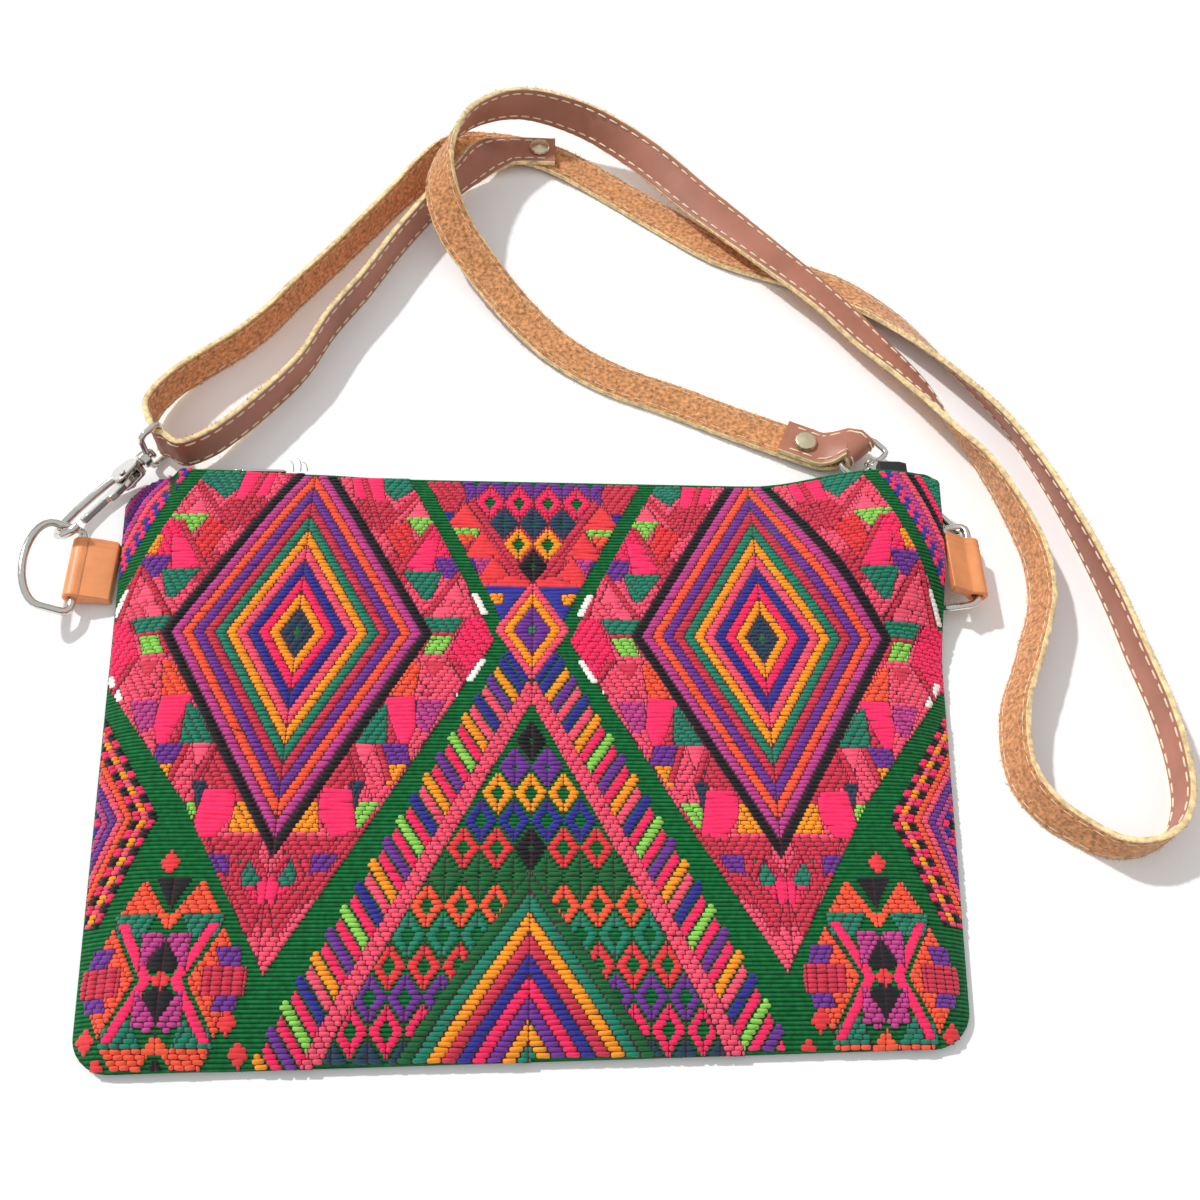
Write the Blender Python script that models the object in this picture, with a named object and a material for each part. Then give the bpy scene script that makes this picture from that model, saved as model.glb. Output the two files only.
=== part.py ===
"""Crossbody bag: a flat brocade pouch with a zip, leather side tabs, D-rings and a clip-on leather strap.

The bag lies on its back. +X is to the right, +Y towards the zip, +Z out of the front.
The origin is the middle of the back, on the surface that the bag rests on.
"""
import math

import bmesh
import bpy
from mathutils import Matrix, Vector
from mathutils.geometry import delaunay_2d_cdt

MM = 0.001
CLEAR = 0.3 * MM                  # gap between two pieces that touch

# Pouch
TOP_WIDTH = 302.0 * MM
BOTTOM_WIDTH = 270.0 * MM
TOP_Y = 103.0 * MM
BOTTOM_Y = -104.0 * MM
BOTTOM_SKEW = 0.022               # the lower edge drops to the left
CORNER_TOP_LEFT = 20.0 * MM
CORNER_TOP_RIGHT = 7.0 * MM
CORNER_BOTTOM = 11.0 * MM
BACK_THICK = 2.0 * MM
FRONT_THICK = 2.0 * MM
RIM_THICK = 0.7 * MM              # front panel where it meets the back at the seam
CROWN = 9.6 * MM                  # how far the front stands over its rim
ROLL_WIDTH = 26.0 * MM            # width over which the front rolls down to the seam
MOUTH_SHARE = 0.72                # part of the crown that is left at the zip
RELIEF = 0.9 * MM                 # height of the brocade's ridges
BACK_GRID = 15.0 * MM
LIFT = 13.2 * MM                  # top right corner, raised by the clip under it
LIFT_X = (0.5 * TOP_WIDTH - 71.0 * MM, 0.5 * TOP_WIDTH - 23.0 * MM)
LIFT_Y = (TOP_Y - 78.0 * MM, TOP_Y - 31.0 * MM)

# Lining
LINING_THICK = 0.4 * MM
LINING_INSET = 13.0 * MM
LINING_SLACK = 1.7 * MM           # where the pouch is bent
LINING_MOUTH = 16.0 * MM          # its mouth lies this far under the zip edge

# Brocade pattern
DIAMOND_X = 79.0 * MM
DIAMOND_Y = 35.0 * MM
DIAMOND_HALF = (43.7 * MM, 79.0 * MM)
DIAMOND_BANDS = 11
DIAMOND_CORE = 0.125
MEDALLION_Y = 33.5 * MM
MEDALLION_HALF = (12.6 * MM, 24.0 * MM)
SMALL_PITCH = (10.4 * MM, 9.1 * MM)
SMALL_HALF = (4.6 * MM, 5.4 * MM)
SMALL_TOP_Y = 90.5 * MM
SMALL_LOW_Y = -10.5 * MM
CHEVRON_Y = -59.0 * MM
CHEVRON_PITCH = 6.6 * MM
CHEVRON_SLOPE = 1.43
BAND_A_Y = 14.0 * MM
BAND_A_SLOPE = 1.86
BAND_A_WIDTH = 5.2 * MM
FEATHER_PITCH = 6.3 * MM
FEATHER_LENGTH = 15.5 * MM
FEATHER_SLOPE = 1.35
RIB_LINES = (((122.0 * MM, 96.0 * MM), (141.5 * MM, 54.0 * MM)), ((139.0 * MM, 5.0 * MM), (88.0 * MM, -74.0 * MM)))
RIB_STEP = 2.6 * MM
FIGURE_SPOT = (108.0 * MM, -80.0 * MM)
FIGURE_HALF = (19.0 * MM, 22.0 * MM)

# Zip
ZIP_X = (27.0 * MM - 0.5 * TOP_WIDTH, 0.5 * TOP_WIDTH - 24.0 * MM)
ZIP_TAPE = 0.5 * MM
ZIP_PITCH = 8.0 * MM
ZIP_TOOTH = 1.3 * MM
ZIP_HEIGHT = 3.0 * MM
ZIP_BASE = 3.1 * MM               # height of the lower tape over the table
ZIP_Y = (TOP_Y - 3.2 * MM, TOP_Y - 1.2 * MM)
ZIP_TAPE_Y = TOP_Y - 14.5 * MM
SLIDER_X = ZIP_X[0] + 12.0 * MM
SLIDER_LENGTH = 9.0 * MM
SLIDER_WALL = 0.8 * MM
PULL_SIZE = (19.0 * MM, 1.0 * MM, 3.4 * MM)
BAIL_WIRE = 0.4 * MM              # radius
BAIL_HALF = 1.5 * MM
BAIL_REACH = 1.6 * MM
END_TAB_LENGTH = 11.0 * MM

# Side tabs and rings
TAB_WIDTH = 23.6 * MM
TAB_LEATHER = 1.9 * MM
RING_WIRE = 1.5 * MM              # radius
RING_HALF = 16.5 * MM
RING_DEPTH = 18.5 * MM
RING_CORNER = 3.0 * MM
RING_SIDE = 10.5 * MM             # straight run before the round end
LEFT_RING = (13.5 * MM, TOP_Y - 42.5 * MM, 4.9 * MM)     # its bar: out from the pouch, along it, height
LEFT_TAB_Y = LEFT_RING[1] + 1.0 * MM
LEFT_RING_TILT = 35.0
RIGHT_RING = (12.2 * MM, TOP_Y - 35.5 * MM, 9.0 * MM)
RIGHT_TAB_Y = RIGHT_RING[1] - 2.3 * MM
RIGHT_RING_TILT = -21.0

# Clips: s runs along the clip from the swivel to its tip
EYE_WIRE = 1.2 * MM               # radius
HOOK_ROD = 1.6 * MM               # radius
HOOK_LENGTH = 40.0 * MM
HOOK_REACH = 6.2 * MM             # half width of the hook's bow
COLLAR_LENGTH = 3.0 * MM
COLLAR_RADIUS = 3.2 * MM
STEM_RADIUS = 1.4 * MM
CHEEK_GAP = 3.2 * MM
CHEEK_WALL = 1.2 * MM
GATE_PIVOT = (9.0 * MM, -3.6 * MM)
GATE_END = (31.6 * MM, -5.7 * MM)
GATE_THICK = 2.4 * MM
PIN_RADIUS = 0.8 * MM
LEFT_CATCH = 35.4 * MM            # where the ring's wire lies along the clip
CATCH_DEPTH = 6.5 * MM            # and how far from the ring's bar
RIGHT_CATCH = 34.5 * MM
RIGHT_HEADING = -48.0
CLIP_ROLL = 35.0
EYE_BAR = 12.2 * MM               # from the collar's face to the middle of the eye's far bar
LEFT_EYE = (22.7 * MM, 53.8 * MM, 6.0 * MM)     # from the left ring's bar

# Strap
STRAP_WIDTH = 15.0 * MM
STRAP_THICK = 2.2 * MM
STRAP_STEP = 11.0 * MM
RIVET_HEAD = 4.7 * MM
RIVET_POST = 1.3 * MM
RIVET_BASE = 1.0 * MM
RIVET_DOME = 1.9 * MM
LEFT_RIVET = (0.0, 278.5)
RIGHT_RIVET = (104.0, 122.6)
FOLD_RADIUS = EYE_WIRE + CLEAR + 0.5 * STRAP_THICK + 0.1 * MM
ROUTE_EYES = ((-138.5 * MM, 114.3 * MM), (131.2 * MM, 109.6 * MM))     # the clips' places in the routes below
ROUTE_REACH = 100.0 * MM          # the routes follow the clips from this far out

# The strap's route in millimetres, from its left end to its right: x, y, z and the lean in degrees,
# which is 0 with the smooth side up, 90 on edge with it to the left, and 180 with it down.
ROUTE_IN = [
    (7, 278, 5.2, 0), (-5, 278, 5.2, 0), (-14, 277, 5.6, 5), (-23, 271, 7.4, 35), (-33, 259, 8.2, 72),
    (-45, 242, 7.8, 86), (-58, 220, 7.8, 88), (-70, 196, 7.8, 88), (-82, 175, 7.8, 88), (-92, 152, 7.8, 90),
    (-103, 136, 7.9, 90), (-114, 122, 8.6, 90), (-123, 112.5, 10.0, 90), (-131, 108.5, 10.8, 90),
]
ROUTE_OUT = [
    (-145, 127, 10.2, 90), (-139, 141, 8.8, 90), (-129, 152, 7.9, 92), (-117, 163, 7.8, 92), (-106, 176, 7.8, 92),
    (-97, 190, 7.8, 92), (-85, 207, 7.8, 92), (-73, 225, 7.8, 93), (-60, 245, 7.7, 96), (-48, 262, 7.7, 112),
    (-36, 275, 6.1, 140), (-22, 281, 3.4, 168), (-5, 280, 2.7, 180), (8, 275, 2.6, 180), (27, 263, 1.6, 180),
    (53, 243, 1.6, 180), (78, 225, 1.6, 182), (103, 215, 1.7, 184), (126, 205, 2.5, 190), (146, 188, 4.6, 206),
    (166, 163, 6.6, 232), (184, 137, 7.4, 247), (195, 113, 7.8, 256), (205, 83, 7.8, 263), (212, 55, 7.8, 268),
    (216, 32, 7.8, 270), (220, 10, 7.8, 270), (221, -10, 7.8, 270), (219, -24, 7.8, 270), (213, -34, 7.8, 268),
    (203, -39, 7.8, 266), (192, -39, 7.8, 264), (182, -34, 7.7, 260), (172, -26, 7.6, 256), (166, -16, 7.6, 254),
    (165, -3, 7.5, 252), (168, 13, 7.5, 250), (174, 26, 7.5, 250), (180, 40, 7.5, 250), (185, 54, 7.6, 253),
    (186, 72, 7.7, 258), (182, 90, 7.8, 264), (174, 112, 7.8, 276), (164, 130, 7.6, 300), (152, 152, 7.2, 328),
    (135, 174, 7.2, 345), (118, 195, 8.4, 350), (94, 220, 9.2, 362), (69, 245, 10.4, 380), (44, 270, 13.0, 402),
    (18, 286, 16.8, 425), (-9, 290, 20.5, 444), (-29, 278, 23.2, 462), (-39, 259, 24.0, 480), (-41, 240, 22.6, 500),
    (-35, 221, 15.6, 520), (-22, 203, 8.8, 532), (-7, 184, 4.8, 538), (9, 168, 2.6, 540), (29, 155, 1.7, 540),
    (53, 145, 1.6, 540), (76, 134.5, 2.1, 540), (92, 127.5, 2.7, 540), (104, 122.6, 2.7, 540),
    (112, 119.9, 3.0, 540),
]
ROUTE_BACK = [(111, 120.1, 5.6, 360), (104, 122.8, 5.3, 360), (96, 126.2, 5.2, 360)]


def material(name, color, roughness, metallic=0.0):
    """Return a Principled material."""
    mat = bpy.data.materials.new(name)
    mat.use_nodes = True
    shader = mat.node_tree.nodes["Principled BSDF"]
    shader.inputs["Base Color"].default_value = (*color, 1.0)
    shader.inputs["Roughness"].default_value = roughness
    shader.inputs["Metallic"].default_value = metallic
    return mat


def place(name, mesh, mat, matrix=None, smooth=False):
    """Make an object from a mesh, with its faces turned outwards."""
    bm = bmesh.new()
    bm.from_mesh(mesh)
    bmesh.ops.recalc_face_normals(bm, faces=bm.faces)
    bm.to_mesh(mesh)
    bm.free()
    mesh.materials.append(mat)
    if smooth:
        mesh.shade_smooth()
        mesh.set_sharp_from_angle(angle=math.radians(40))
    obj = bpy.data.objects.new(name, mesh)
    bpy.context.scene.collection.objects.link(obj)
    if matrix is not None:
        obj.matrix_world = matrix
    return obj


def mesh_from(name, verts, faces):
    """Return a mesh from plain vertices and faces."""
    mesh = bpy.data.meshes.new(name)
    mesh.from_pydata([tuple(v) for v in verts], [], faces)
    mesh.validate()
    return mesh


def hide(obj):
    """Mark an object as a cutter or a guide."""
    obj.hide_render = True
    obj.display_type = "WIRE"


def combine(target, other, operation):
    """Join another object to the target or cut it away, with the exact solver."""
    modifier = target.modifiers.new(other.name, "BOOLEAN")
    modifier.operation = operation
    modifier.object = other
    modifier.solver = "EXACT"
    hide(other)


def frame(origin, axis, second):
    """Return a matrix with X along axis, Y along second as near as may be, at origin."""
    x = Vector(axis).normalized()
    y = Vector(second)
    y = (y - x * x.dot(y)).normalized()
    z = x.cross(y)
    rows = Matrix((x, y, z)).transposed().to_4x4()
    rows.translation = origin
    return rows


def box_mesh(name, low, high):
    """Return a box between two corners."""
    xs, ys, zs = zip(low, high)
    verts = [(x, y, z) for x in xs for y in ys for z in zs]
    faces = [(0, 1, 3, 2), (4, 6, 7, 5), (0, 4, 5, 1), (2, 3, 7, 6), (0, 2, 6, 4), (1, 5, 7, 3)]
    return mesh_from(name, verts, faces)


def sweep_mesh(name, points, radius, sides=8, closed=False):
    """Return a round wire along points, all in one plane or nearly so."""
    points = [Vector(p) for p in points]
    count = len(points)
    normal = Vector((0.0, 0.0, 0.0))
    for i in range(count):
        normal += points[i].cross(points[(i + 1) % count])
    normal = normal.normalized() if normal.length > 1e-12 else Vector((0.0, 0.0, 1.0))
    verts, faces = [], []
    for i, p in enumerate(points):
        before = points[i - 1] if i or closed else p
        after = points[(i + 1) % count] if i < count - 1 or closed else p
        along = (after - before).normalized()
        side = normal.cross(along).normalized()
        up = along.cross(side)
        widen = 1.0
        if before is not p and after is not p:
            bend = (p - before).normalized().dot((after - p).normalized())
            widen = 1.0 / math.sqrt(max(0.5 * (1.0 + bend), 0.3))
        for k in range(sides):
            angle = 2.0 * math.pi * (k + 0.5) / sides
            verts.append(p + side * (math.cos(angle) * radius * widen) + up * (math.sin(angle) * radius))
    for i in range(count if closed else count - 1):
        j = (i + 1) % count
        for k in range(sides):
            m = (k + 1) % sides
            faces.append((i * sides + k, i * sides + m, j * sides + m, j * sides + k))
    if not closed:
        faces.append(tuple(range(sides)))
        faces.append(tuple(range((count - 1) * sides, count * sides)))
    return mesh_from(name, verts, faces)


def lathe_mesh(name, profile, sides=16):
    """Turn a closed (along, radius) profile about the X axis."""
    verts, faces, rings = [], [], []
    for along, radius in profile:
        if radius == 0.0:
            rings.append([len(verts)])
            verts.append((along, 0.0, 0.0))
            continue
        rings.append(list(range(len(verts), len(verts) + sides)))
        for k in range(sides):
            angle = 2.0 * math.pi * k / sides
            verts.append((along, radius * math.cos(angle), radius * math.sin(angle)))
    solid = profile[0][1] == 0.0
    pairs = list(zip(rings, rings[1:])) if solid else list(zip(rings, rings[1:] + rings[:1]))
    for a, b in pairs:
        for k in range(sides):
            m = (k + 1) % sides
            corner = [a[k % len(a)], a[m % len(a)], b[m % len(b)], b[k % len(b)]]
            faces.append(tuple(dict.fromkeys(corner)))
    return mesh_from(name, verts, faces)


def prism_mesh(name, outline, low, high):
    """Raise a flat (x, y) outline between two heights."""
    count = len(outline)
    verts = [(x, y, low) for x, y in outline] + [(x, y, high) for x, y in outline]
    faces = [tuple(range(count)), tuple(range(2 * count - 1, count - 1, -1))]
    for i in range(count):
        j = (i + 1) % count
        faces.append((i, j, count + j, count + i))
    return mesh_from(name, verts, faces)


def smoothstep(value, low, high):
    """Ease from 0 at low to 1 at high."""
    share = min(max((value - low) / (high - low), 0.0), 1.0)
    return share * share * (3.0 - 2.0 * share)


def lift(x, y):
    """Return how far the pouch is raised over the table at a point."""
    return LIFT * smoothstep(x, *LIFT_X) * smoothstep(y, *LIFT_Y)


def half_width(y):
    """Return half the pouch's width at a height along it."""
    share = (y - BOTTOM_Y) / (TOP_Y - BOTTOM_Y)
    return 0.5 * (BOTTOM_WIDTH + (TOP_WIDTH - BOTTOM_WIDTH) * share)


def bottom_at(x):
    """Return the lower edge's place below a point."""
    return BOTTOM_Y + BOTTOM_SKEW * x


def rounded(corners, radii, steps=5):
    """Round the corners of a closed outline."""
    result = []
    count = len(corners)
    for i in range(count):
        corner = Vector(corners[i])
        before = (Vector(corners[i - 1]) - corner).normalized()
        after = (Vector(corners[(i + 1) % count]) - corner).normalized()
        half = 0.5 * before.angle(after)
        reach = radii[i] / math.tan(half)
        centre = corner + (before + after).normalized() * (radii[i] / math.sin(half))
        start = corner + before * reach - centre
        end = corner + after * reach - centre
        turn = start.angle_signed(end)
        for k in range(steps + 1):
            angle = -turn * k / steps
            spot = Vector((start.x * math.cos(angle) - start.y * math.sin(angle),
                           start.x * math.sin(angle) + start.y * math.cos(angle)))
            result.append(centre + spot)
    return result


def with_steps(outline, step):
    """Add points along the long sides of a closed outline."""
    result = []
    for i, point in enumerate(outline):
        following = outline[(i + 1) % len(outline)]
        parts = max(1, round((following - point).length / step))
        result += [point.lerp(following, k / parts) for k in range(parts)]
    return result


def pouch_outline(inset=0.0):
    """Return the pouch's outline, anticlockwise from its top left."""
    corners = [
        (-half_width(TOP_Y) + inset, TOP_Y - inset),
        (-half_width(BOTTOM_Y) + inset, bottom_at(-half_width(BOTTOM_Y)) + inset),
        (half_width(BOTTOM_Y) - inset, bottom_at(half_width(BOTTOM_Y)) + inset),
        (half_width(TOP_Y) - inset, TOP_Y - inset),
    ]
    radii = [max(r - inset, 2.0 * MM) for r in (CORNER_TOP_LEFT, CORNER_BOTTOM, CORNER_BOTTOM, CORNER_TOP_RIGHT)]
    return rounded(corners, radii)


def edge_distance(point, outline):
    """Return how far inside an anticlockwise convex outline a point lies."""
    best = None
    for i, a in enumerate(outline):
        side = outline[(i + 1) % len(outline)] - a
        if side.length < 1e-7:
            continue
        depth = (side.x * (point[1] - a.y) - side.y * (point[0] - a.x)) / side.length
        best = depth if best is None else min(best, depth)
    return best


OUTLINE = pouch_outline()


def seam_distance(x, y):
    """Return the distance to the sewn seam: the sides and the bottom, with their round corners."""
    if y < 0.0:
        return edge_distance((x, y), OUTLINE)
    radius = CORNER_TOP_LEFT if x < 0.0 else CORNER_TOP_RIGHT
    across = abs(x) - half_width(TOP_Y) + radius
    along = y - TOP_Y + radius
    if across > 0.0 and along > 0.0:
        return radius - math.hypot(across, along)
    return half_width(y) - abs(x)


def ease(distance, width):
    """Return the rolled rise over a width: steep at the edge and level at its end."""
    share = min(max(distance / width, 0.0), 1.0)
    return 1.0 - (1.0 - share) ** 2.2


def front_height(x, y):
    """Return the height of the front's ground cloth over the table."""
    rise = ease(seam_distance(x, y), ROLL_WIDTH)
    rise *= MOUTH_SHARE + (1.0 - MOUTH_SHARE) * ease(TOP_Y - y, ROLL_WIDTH)
    belly = 0.86 + 0.14 * (1.0 - (x / half_width(y)) ** 2) * (1.0 - (y / TOP_Y) ** 2)
    return lift(x, y) + BACK_THICK + CLEAR + RIM_THICK + CROWN * rise * belly


def sheet_edges(outline, points, ridges, keep):
    """Triangulate an outline with inner points and ridge lines; return points, kinds and triangles."""
    coords = [Vector((p[0], p[1])) for p in outline]
    kinds = [0.0] * len(coords)
    edges = []
    for x, y in points:
        coords.append(Vector((x, y)))
        kinds.append(0.0)
    for line, kind in ridges:
        last = None
        for point in line:
            if edge_distance(point, OUTLINE) < keep:
                last = None
                continue
            coords.append(Vector((point[0], point[1])))
            kinds.append(kind)
            if last is not None:
                edges.append((last, len(coords) - 1))
            last = len(coords) - 1
    face = [list(range(len(outline)))]
    out = delaunay_2d_cdt(coords, edges, face, 1, 0.05 * MM)
    found, triangles, origins = out[0], out[2], out[3]
    result = [max([kinds[k] for k in source], default=0.5) for source in origins]
    return found, result, triangles


def closed_sheet(name, top, bottom, mat):
    """Close an upper and a lower triangulated sheet that share one outline, given first in both."""
    (top_points, top_faces), (low_points, low_faces), rim = top, bottom, len(OUTLINE_STEPS)
    offset = len(top_points)
    verts = list(top_points) + list(low_points)
    faces = [tuple(f) for f in top_faces]
    faces += [tuple(offset + i for i in reversed(f)) for f in low_faces]
    lookup = {}
    for i, point in enumerate(low_points):
        lookup[(round(point[0] / MM, 2), round(point[1] / MM, 2))] = offset + i
    border = {}
    for f in top_faces:
        for a, b in zip(f, list(f[1:]) + [f[0]]):
            border[(a, b)] = border.get((a, b), 0) + 1
    for a, b in list(border):
        if (b, a) in border:
            continue
        low_a = lookup[(round(top_points[a][0] / MM, 2), round(top_points[a][1] / MM, 2))]
        low_b = lookup[(round(top_points[b][0] / MM, 2), round(top_points[b][1] / MM, 2))]
        faces.append((a, low_a, low_b, b))
    return place(name, mesh_from(name, verts, faces), mat)


OUTLINE_STEPS = with_steps(OUTLINE, 12.0 * MM)


def grid_points(step, margin):
    """Return a grid of points inside the outline, each at least margin from it."""
    result = []
    columns = math.ceil(TOP_WIDTH / step)
    rows = math.ceil((TOP_Y - BOTTOM_Y) / step)
    for i in range(-columns // 2, columns // 2 + 1):
        for j in range(-rows // 2 - 1, rows // 2 + 2):
            spot = (i * step, j * step)
            if edge_distance(spot, OUTLINE) > margin:
                result.append(spot)
    return result


def ring_points(distances):
    """Return rows of points beside the outline, where the cloth rolls."""
    result = []
    for distance in distances:
        inner = with_steps(pouch_outline(distance), 12.0 * MM)
        result += [(p.x, p.y) for p in inner if edge_distance(p, OUTLINE) > 0.8 * distance]
    return result


def rhombus(x, y, half, share, step=14.0 * MM):
    """Return a closed rhombus as a line of points."""
    corners = [Vector((x, y + half[1] * share)), Vector((x - half[0] * share, y)),
               Vector((x, y - half[1] * share)), Vector((x + half[0] * share, y))]
    line = with_steps(corners, step)
    return [(p.x, p.y) for p in line + line[:1]]


def segment(start, end, step=12.0 * MM):
    """Return a straight line of points."""
    a, b = Vector(start), Vector(end)
    parts = max(1, math.ceil((b - a).length / step))
    return [tuple(a.lerp(b, k / parts)) for k in range(parts + 1)]


def big_diamond(x):
    """Return the ridges of one large diamond: grooves between bands, crests along them."""
    lines = []
    width = (1.0 - DIAMOND_CORE) / DIAMOND_BANDS
    for k in range(DIAMOND_BANDS + 1):
        lines.append((rhombus(x, DIAMOND_Y, DIAMOND_HALF, 1.0 - k * width), 0.0))
        if k < DIAMOND_BANDS:
            lines.append((rhombus(x, DIAMOND_Y, DIAMOND_HALF, 1.0 - (k + 0.5) * width), 1.0))
    lines.append(([(x, DIAMOND_Y - 1.0 * MM), (x, DIAMOND_Y + 1.0 * MM)], 1.0))
    return lines


def small_diamond(x, y):
    """Return the ridges of one small open diamond."""
    return [(rhombus(x, y, SMALL_HALF, 0.98), 0.0), (rhombus(x, y, SMALL_HALF, 0.66), 1.0),
            ([(x, y - 0.5 * MM), (x, y + 0.5 * MM)], 0.2)]


def centre_column():
    """Return the small diamonds, the medallion and the nested chevrons of the middle."""
    lines = []
    rows = [(SMALL_TOP_Y - k * SMALL_PITCH[1], count) for k, count in enumerate((4, 3, 2, 1))]
    rows += [(SMALL_LOW_Y - k * SMALL_PITCH[1], k + 1) for k in range(5)]
    for y, count in rows:
        for i in range(count):
            lines += small_diamond((i - 0.5 * (count - 1)) * SMALL_PITCH[0], y)
    for row in range(6):
        y = SMALL_LOW_Y - (row + 5) * SMALL_PITCH[1]
        for side in (-1, 1):
            for i in range(3):
                x = (0.5 * (row + 5) + 0.1 - i) * SMALL_PITCH[0]
                lines += small_diamond(side * x, y)
    for k, share in enumerate((1.0, 0.84, 0.68, 0.52, 0.36, 0.2)):
        lines.append((rhombus(0.0, MEDALLION_Y, MEDALLION_HALF, share), float(k % 2)))
    for k in range(13):
        apex = CHEVRON_Y - 0.5 * k * CHEVRON_PITCH
        for side in (-1, 1):
            foot = bottom_at(0.0) + 2.0 * MM
            reach = (apex - foot) / CHEVRON_SLOPE
            start = 0.4 * MM
            if reach > 2.0 * MM:
                lines.append((segment((side * start, apex - start * CHEVRON_SLOPE), (side * reach, foot)), k % 2))
    return lines


def feathers():
    """Return the long band on each side of the middle, with the bars that fan out from it."""
    lines = []
    foot = bottom_at(0.0) + 3.0 * MM
    for side in (-1, 1):
        for k in range(3):
            apex = BAND_A_Y + (k - 1) * 0.5 * BAND_A_WIDTH * BAND_A_SLOPE
            start = (0.5 + k) * MM
            reach = (apex - foot) / BAND_A_SLOPE
            lines.append((segment((side * start, apex - start * BAND_A_SLOPE), (side * reach, foot)), k % 2))
        outer = BAND_A_Y + 0.62 * BAND_A_WIDTH * BAND_A_SLOPE
        for k in range(34):
            y = outer - 12.0 * MM - 0.5 * k * FEATHER_PITCH
            x = (outer - y) / BAND_A_SLOPE + 0.6 * MM
            length = FEATHER_LENGTH / math.hypot(1.0, FEATHER_SLOPE)
            end = (side * (x + length), y + length * FEATHER_SLOPE)
            if y > foot:
                lines.append((segment((side * x, y), end), k % 2))
    return lines


def side_figures():
    """Return the ribbed bands beside the large diamonds and the figures in the lower corners."""
    lines = []
    for side in (-1, 1):
        for k in range(3):
            shift = (k - 1) * RIB_STEP
            for (x0, y0), (x1, y1) in RIB_LINES:
                lines.append((segment((side * (x0 + shift), y0), (side * (x1 + shift), y1)), k % 2))
        for share, kind in ((1.0, 0.0), (0.84, 1.0), (0.68, 0.0), (0.5, 1.0), (0.32, 0.0)):
            lines.append((rhombus(side * FIGURE_SPOT[0], FIGURE_SPOT[1], FIGURE_HALF, share), kind))
    return lines


def build_panels(mats):
    """Make the back panel and the front panel with its brocade relief."""
    spots = [p for p in grid_points(BACK_GRID, 4.0 * MM) if 0.0 < lift(p[0] + BACK_GRID, p[1] + BACK_GRID)]
    back = sheet_edges(OUTLINE_STEPS, spots + grid_points(3.0 * BACK_GRID, BACK_GRID), [], 0.0)
    upper = [(p.x, p.y, BACK_THICK + lift(p.x, p.y)) for p in back[0]]
    lower = [(p.x, p.y, lift(p.x, p.y)) for p in back[0]]
    closed_sheet("back_panel", (upper, back[2]), (lower, back[2]), mats["cloth"])

    ridges = big_diamond(-DIAMOND_X) + big_diamond(DIAMOND_X) + centre_column() + feathers() + side_figures()
    rolls = ring_points((1.2 * MM, 3.6 * MM, 7.5 * MM, 13.0 * MM))
    ground = grid_points(26.0 * MM, 20.0 * MM)
    top = sheet_edges(OUTLINE_STEPS, rolls + ground, ridges, 4.5 * MM)
    upper = [(p.x, p.y, front_height(p.x, p.y) + RELIEF * kind) for p, kind in zip(top[0], top[1])]
    inner = sheet_edges(OUTLINE_STEPS, rolls + grid_points(13.0 * MM, 18.0 * MM), [], 0.0)
    lower = []
    for p in inner[0]:
        floor = BACK_THICK + CLEAR + lift(p.x, p.y)
        share = ease(edge_distance((p.x, p.y), OUTLINE), 9.0 * MM)
        drop = RIM_THICK + (FRONT_THICK - RIM_THICK) * share
        lower.append((p.x, p.y, max(floor, front_height(p.x, p.y) - drop)))
    closed_sheet("front_panel", (upper, top[2]), (lower, inner[2]), mats["brocade"])


def build_lining(mats):
    """Make the thin lining: a flat bag inside the pouch, open at the zip."""
    mouth = TOP_Y - LINING_MOUTH
    rows, columns = 7, 12
    low_y = BOTTOM_Y + LINING_INSET + 3.0 * MM
    verts, faces = [], []

    def layer(inset, height):
        """Add one grid of points and return its indices."""
        index = []
        for j in range(rows + 1):
            y = low_y + inset + (mouth - low_y - inset) * j / rows
            half = half_width(y) - LINING_INSET - inset
            row = []
            for i in range(columns + 1):
                x = half * (2.0 * i / columns - 1.0)
                row.append(len(verts))
                verts.append((x, y, height(x, y)))
            index.append(row)
        return index

    def slack(x, y):
        return LINING_SLACK * (1.0 if lift(x + BACK_GRID, y + BACK_GRID) > 0.0 else 0.0)

    def base_height(x, y):
        return BACK_THICK + CLEAR + lift(x, y) + slack(x, y)

    def roof(x, y):
        top = front_height(x, y) - FRONT_THICK - 3.0 * CLEAR - slack(x, y)
        return max(top, base_height(x, y) + 4.0 * LINING_THICK)

    wall = LINING_THICK
    base = layer(0.0, base_height)
    lid = layer(0.0, roof)
    inner_base = layer(wall, lambda x, y: base_height(x, y) + wall)
    inner_lid = layer(wall, lambda x, y: roof(x, y) - wall)
    for grid in (base, lid, inner_base, inner_lid):
        for j in range(rows):
            for i in range(columns):
                faces.append((grid[j][i], grid[j][i + 1], grid[j + 1][i + 1], grid[j + 1][i]))
    for a, b in ((base, lid), (inner_base, inner_lid)):
        for i in range(columns):
            faces.append((a[0][i], b[0][i], b[0][i + 1], a[0][i + 1]))
        for j in range(rows):
            faces.append((a[j][0], a[j + 1][0], b[j + 1][0], b[j][0]))
            faces.append((a[j][columns], b[j][columns], b[j + 1][columns], a[j + 1][columns]))
    for a, b in ((base, inner_base), (lid, inner_lid)):
        for i in range(columns):
            faces.append((a[rows][i], b[rows][i], b[rows][i + 1], a[rows][i + 1]))
    for i in (0, columns):
        faces.append((base[rows][i], lid[rows][i], inner_lid[rows][i], inner_base[rows][i]))
    place("lining", mesh_from("lining", verts, faces), mats["lining"])


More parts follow.
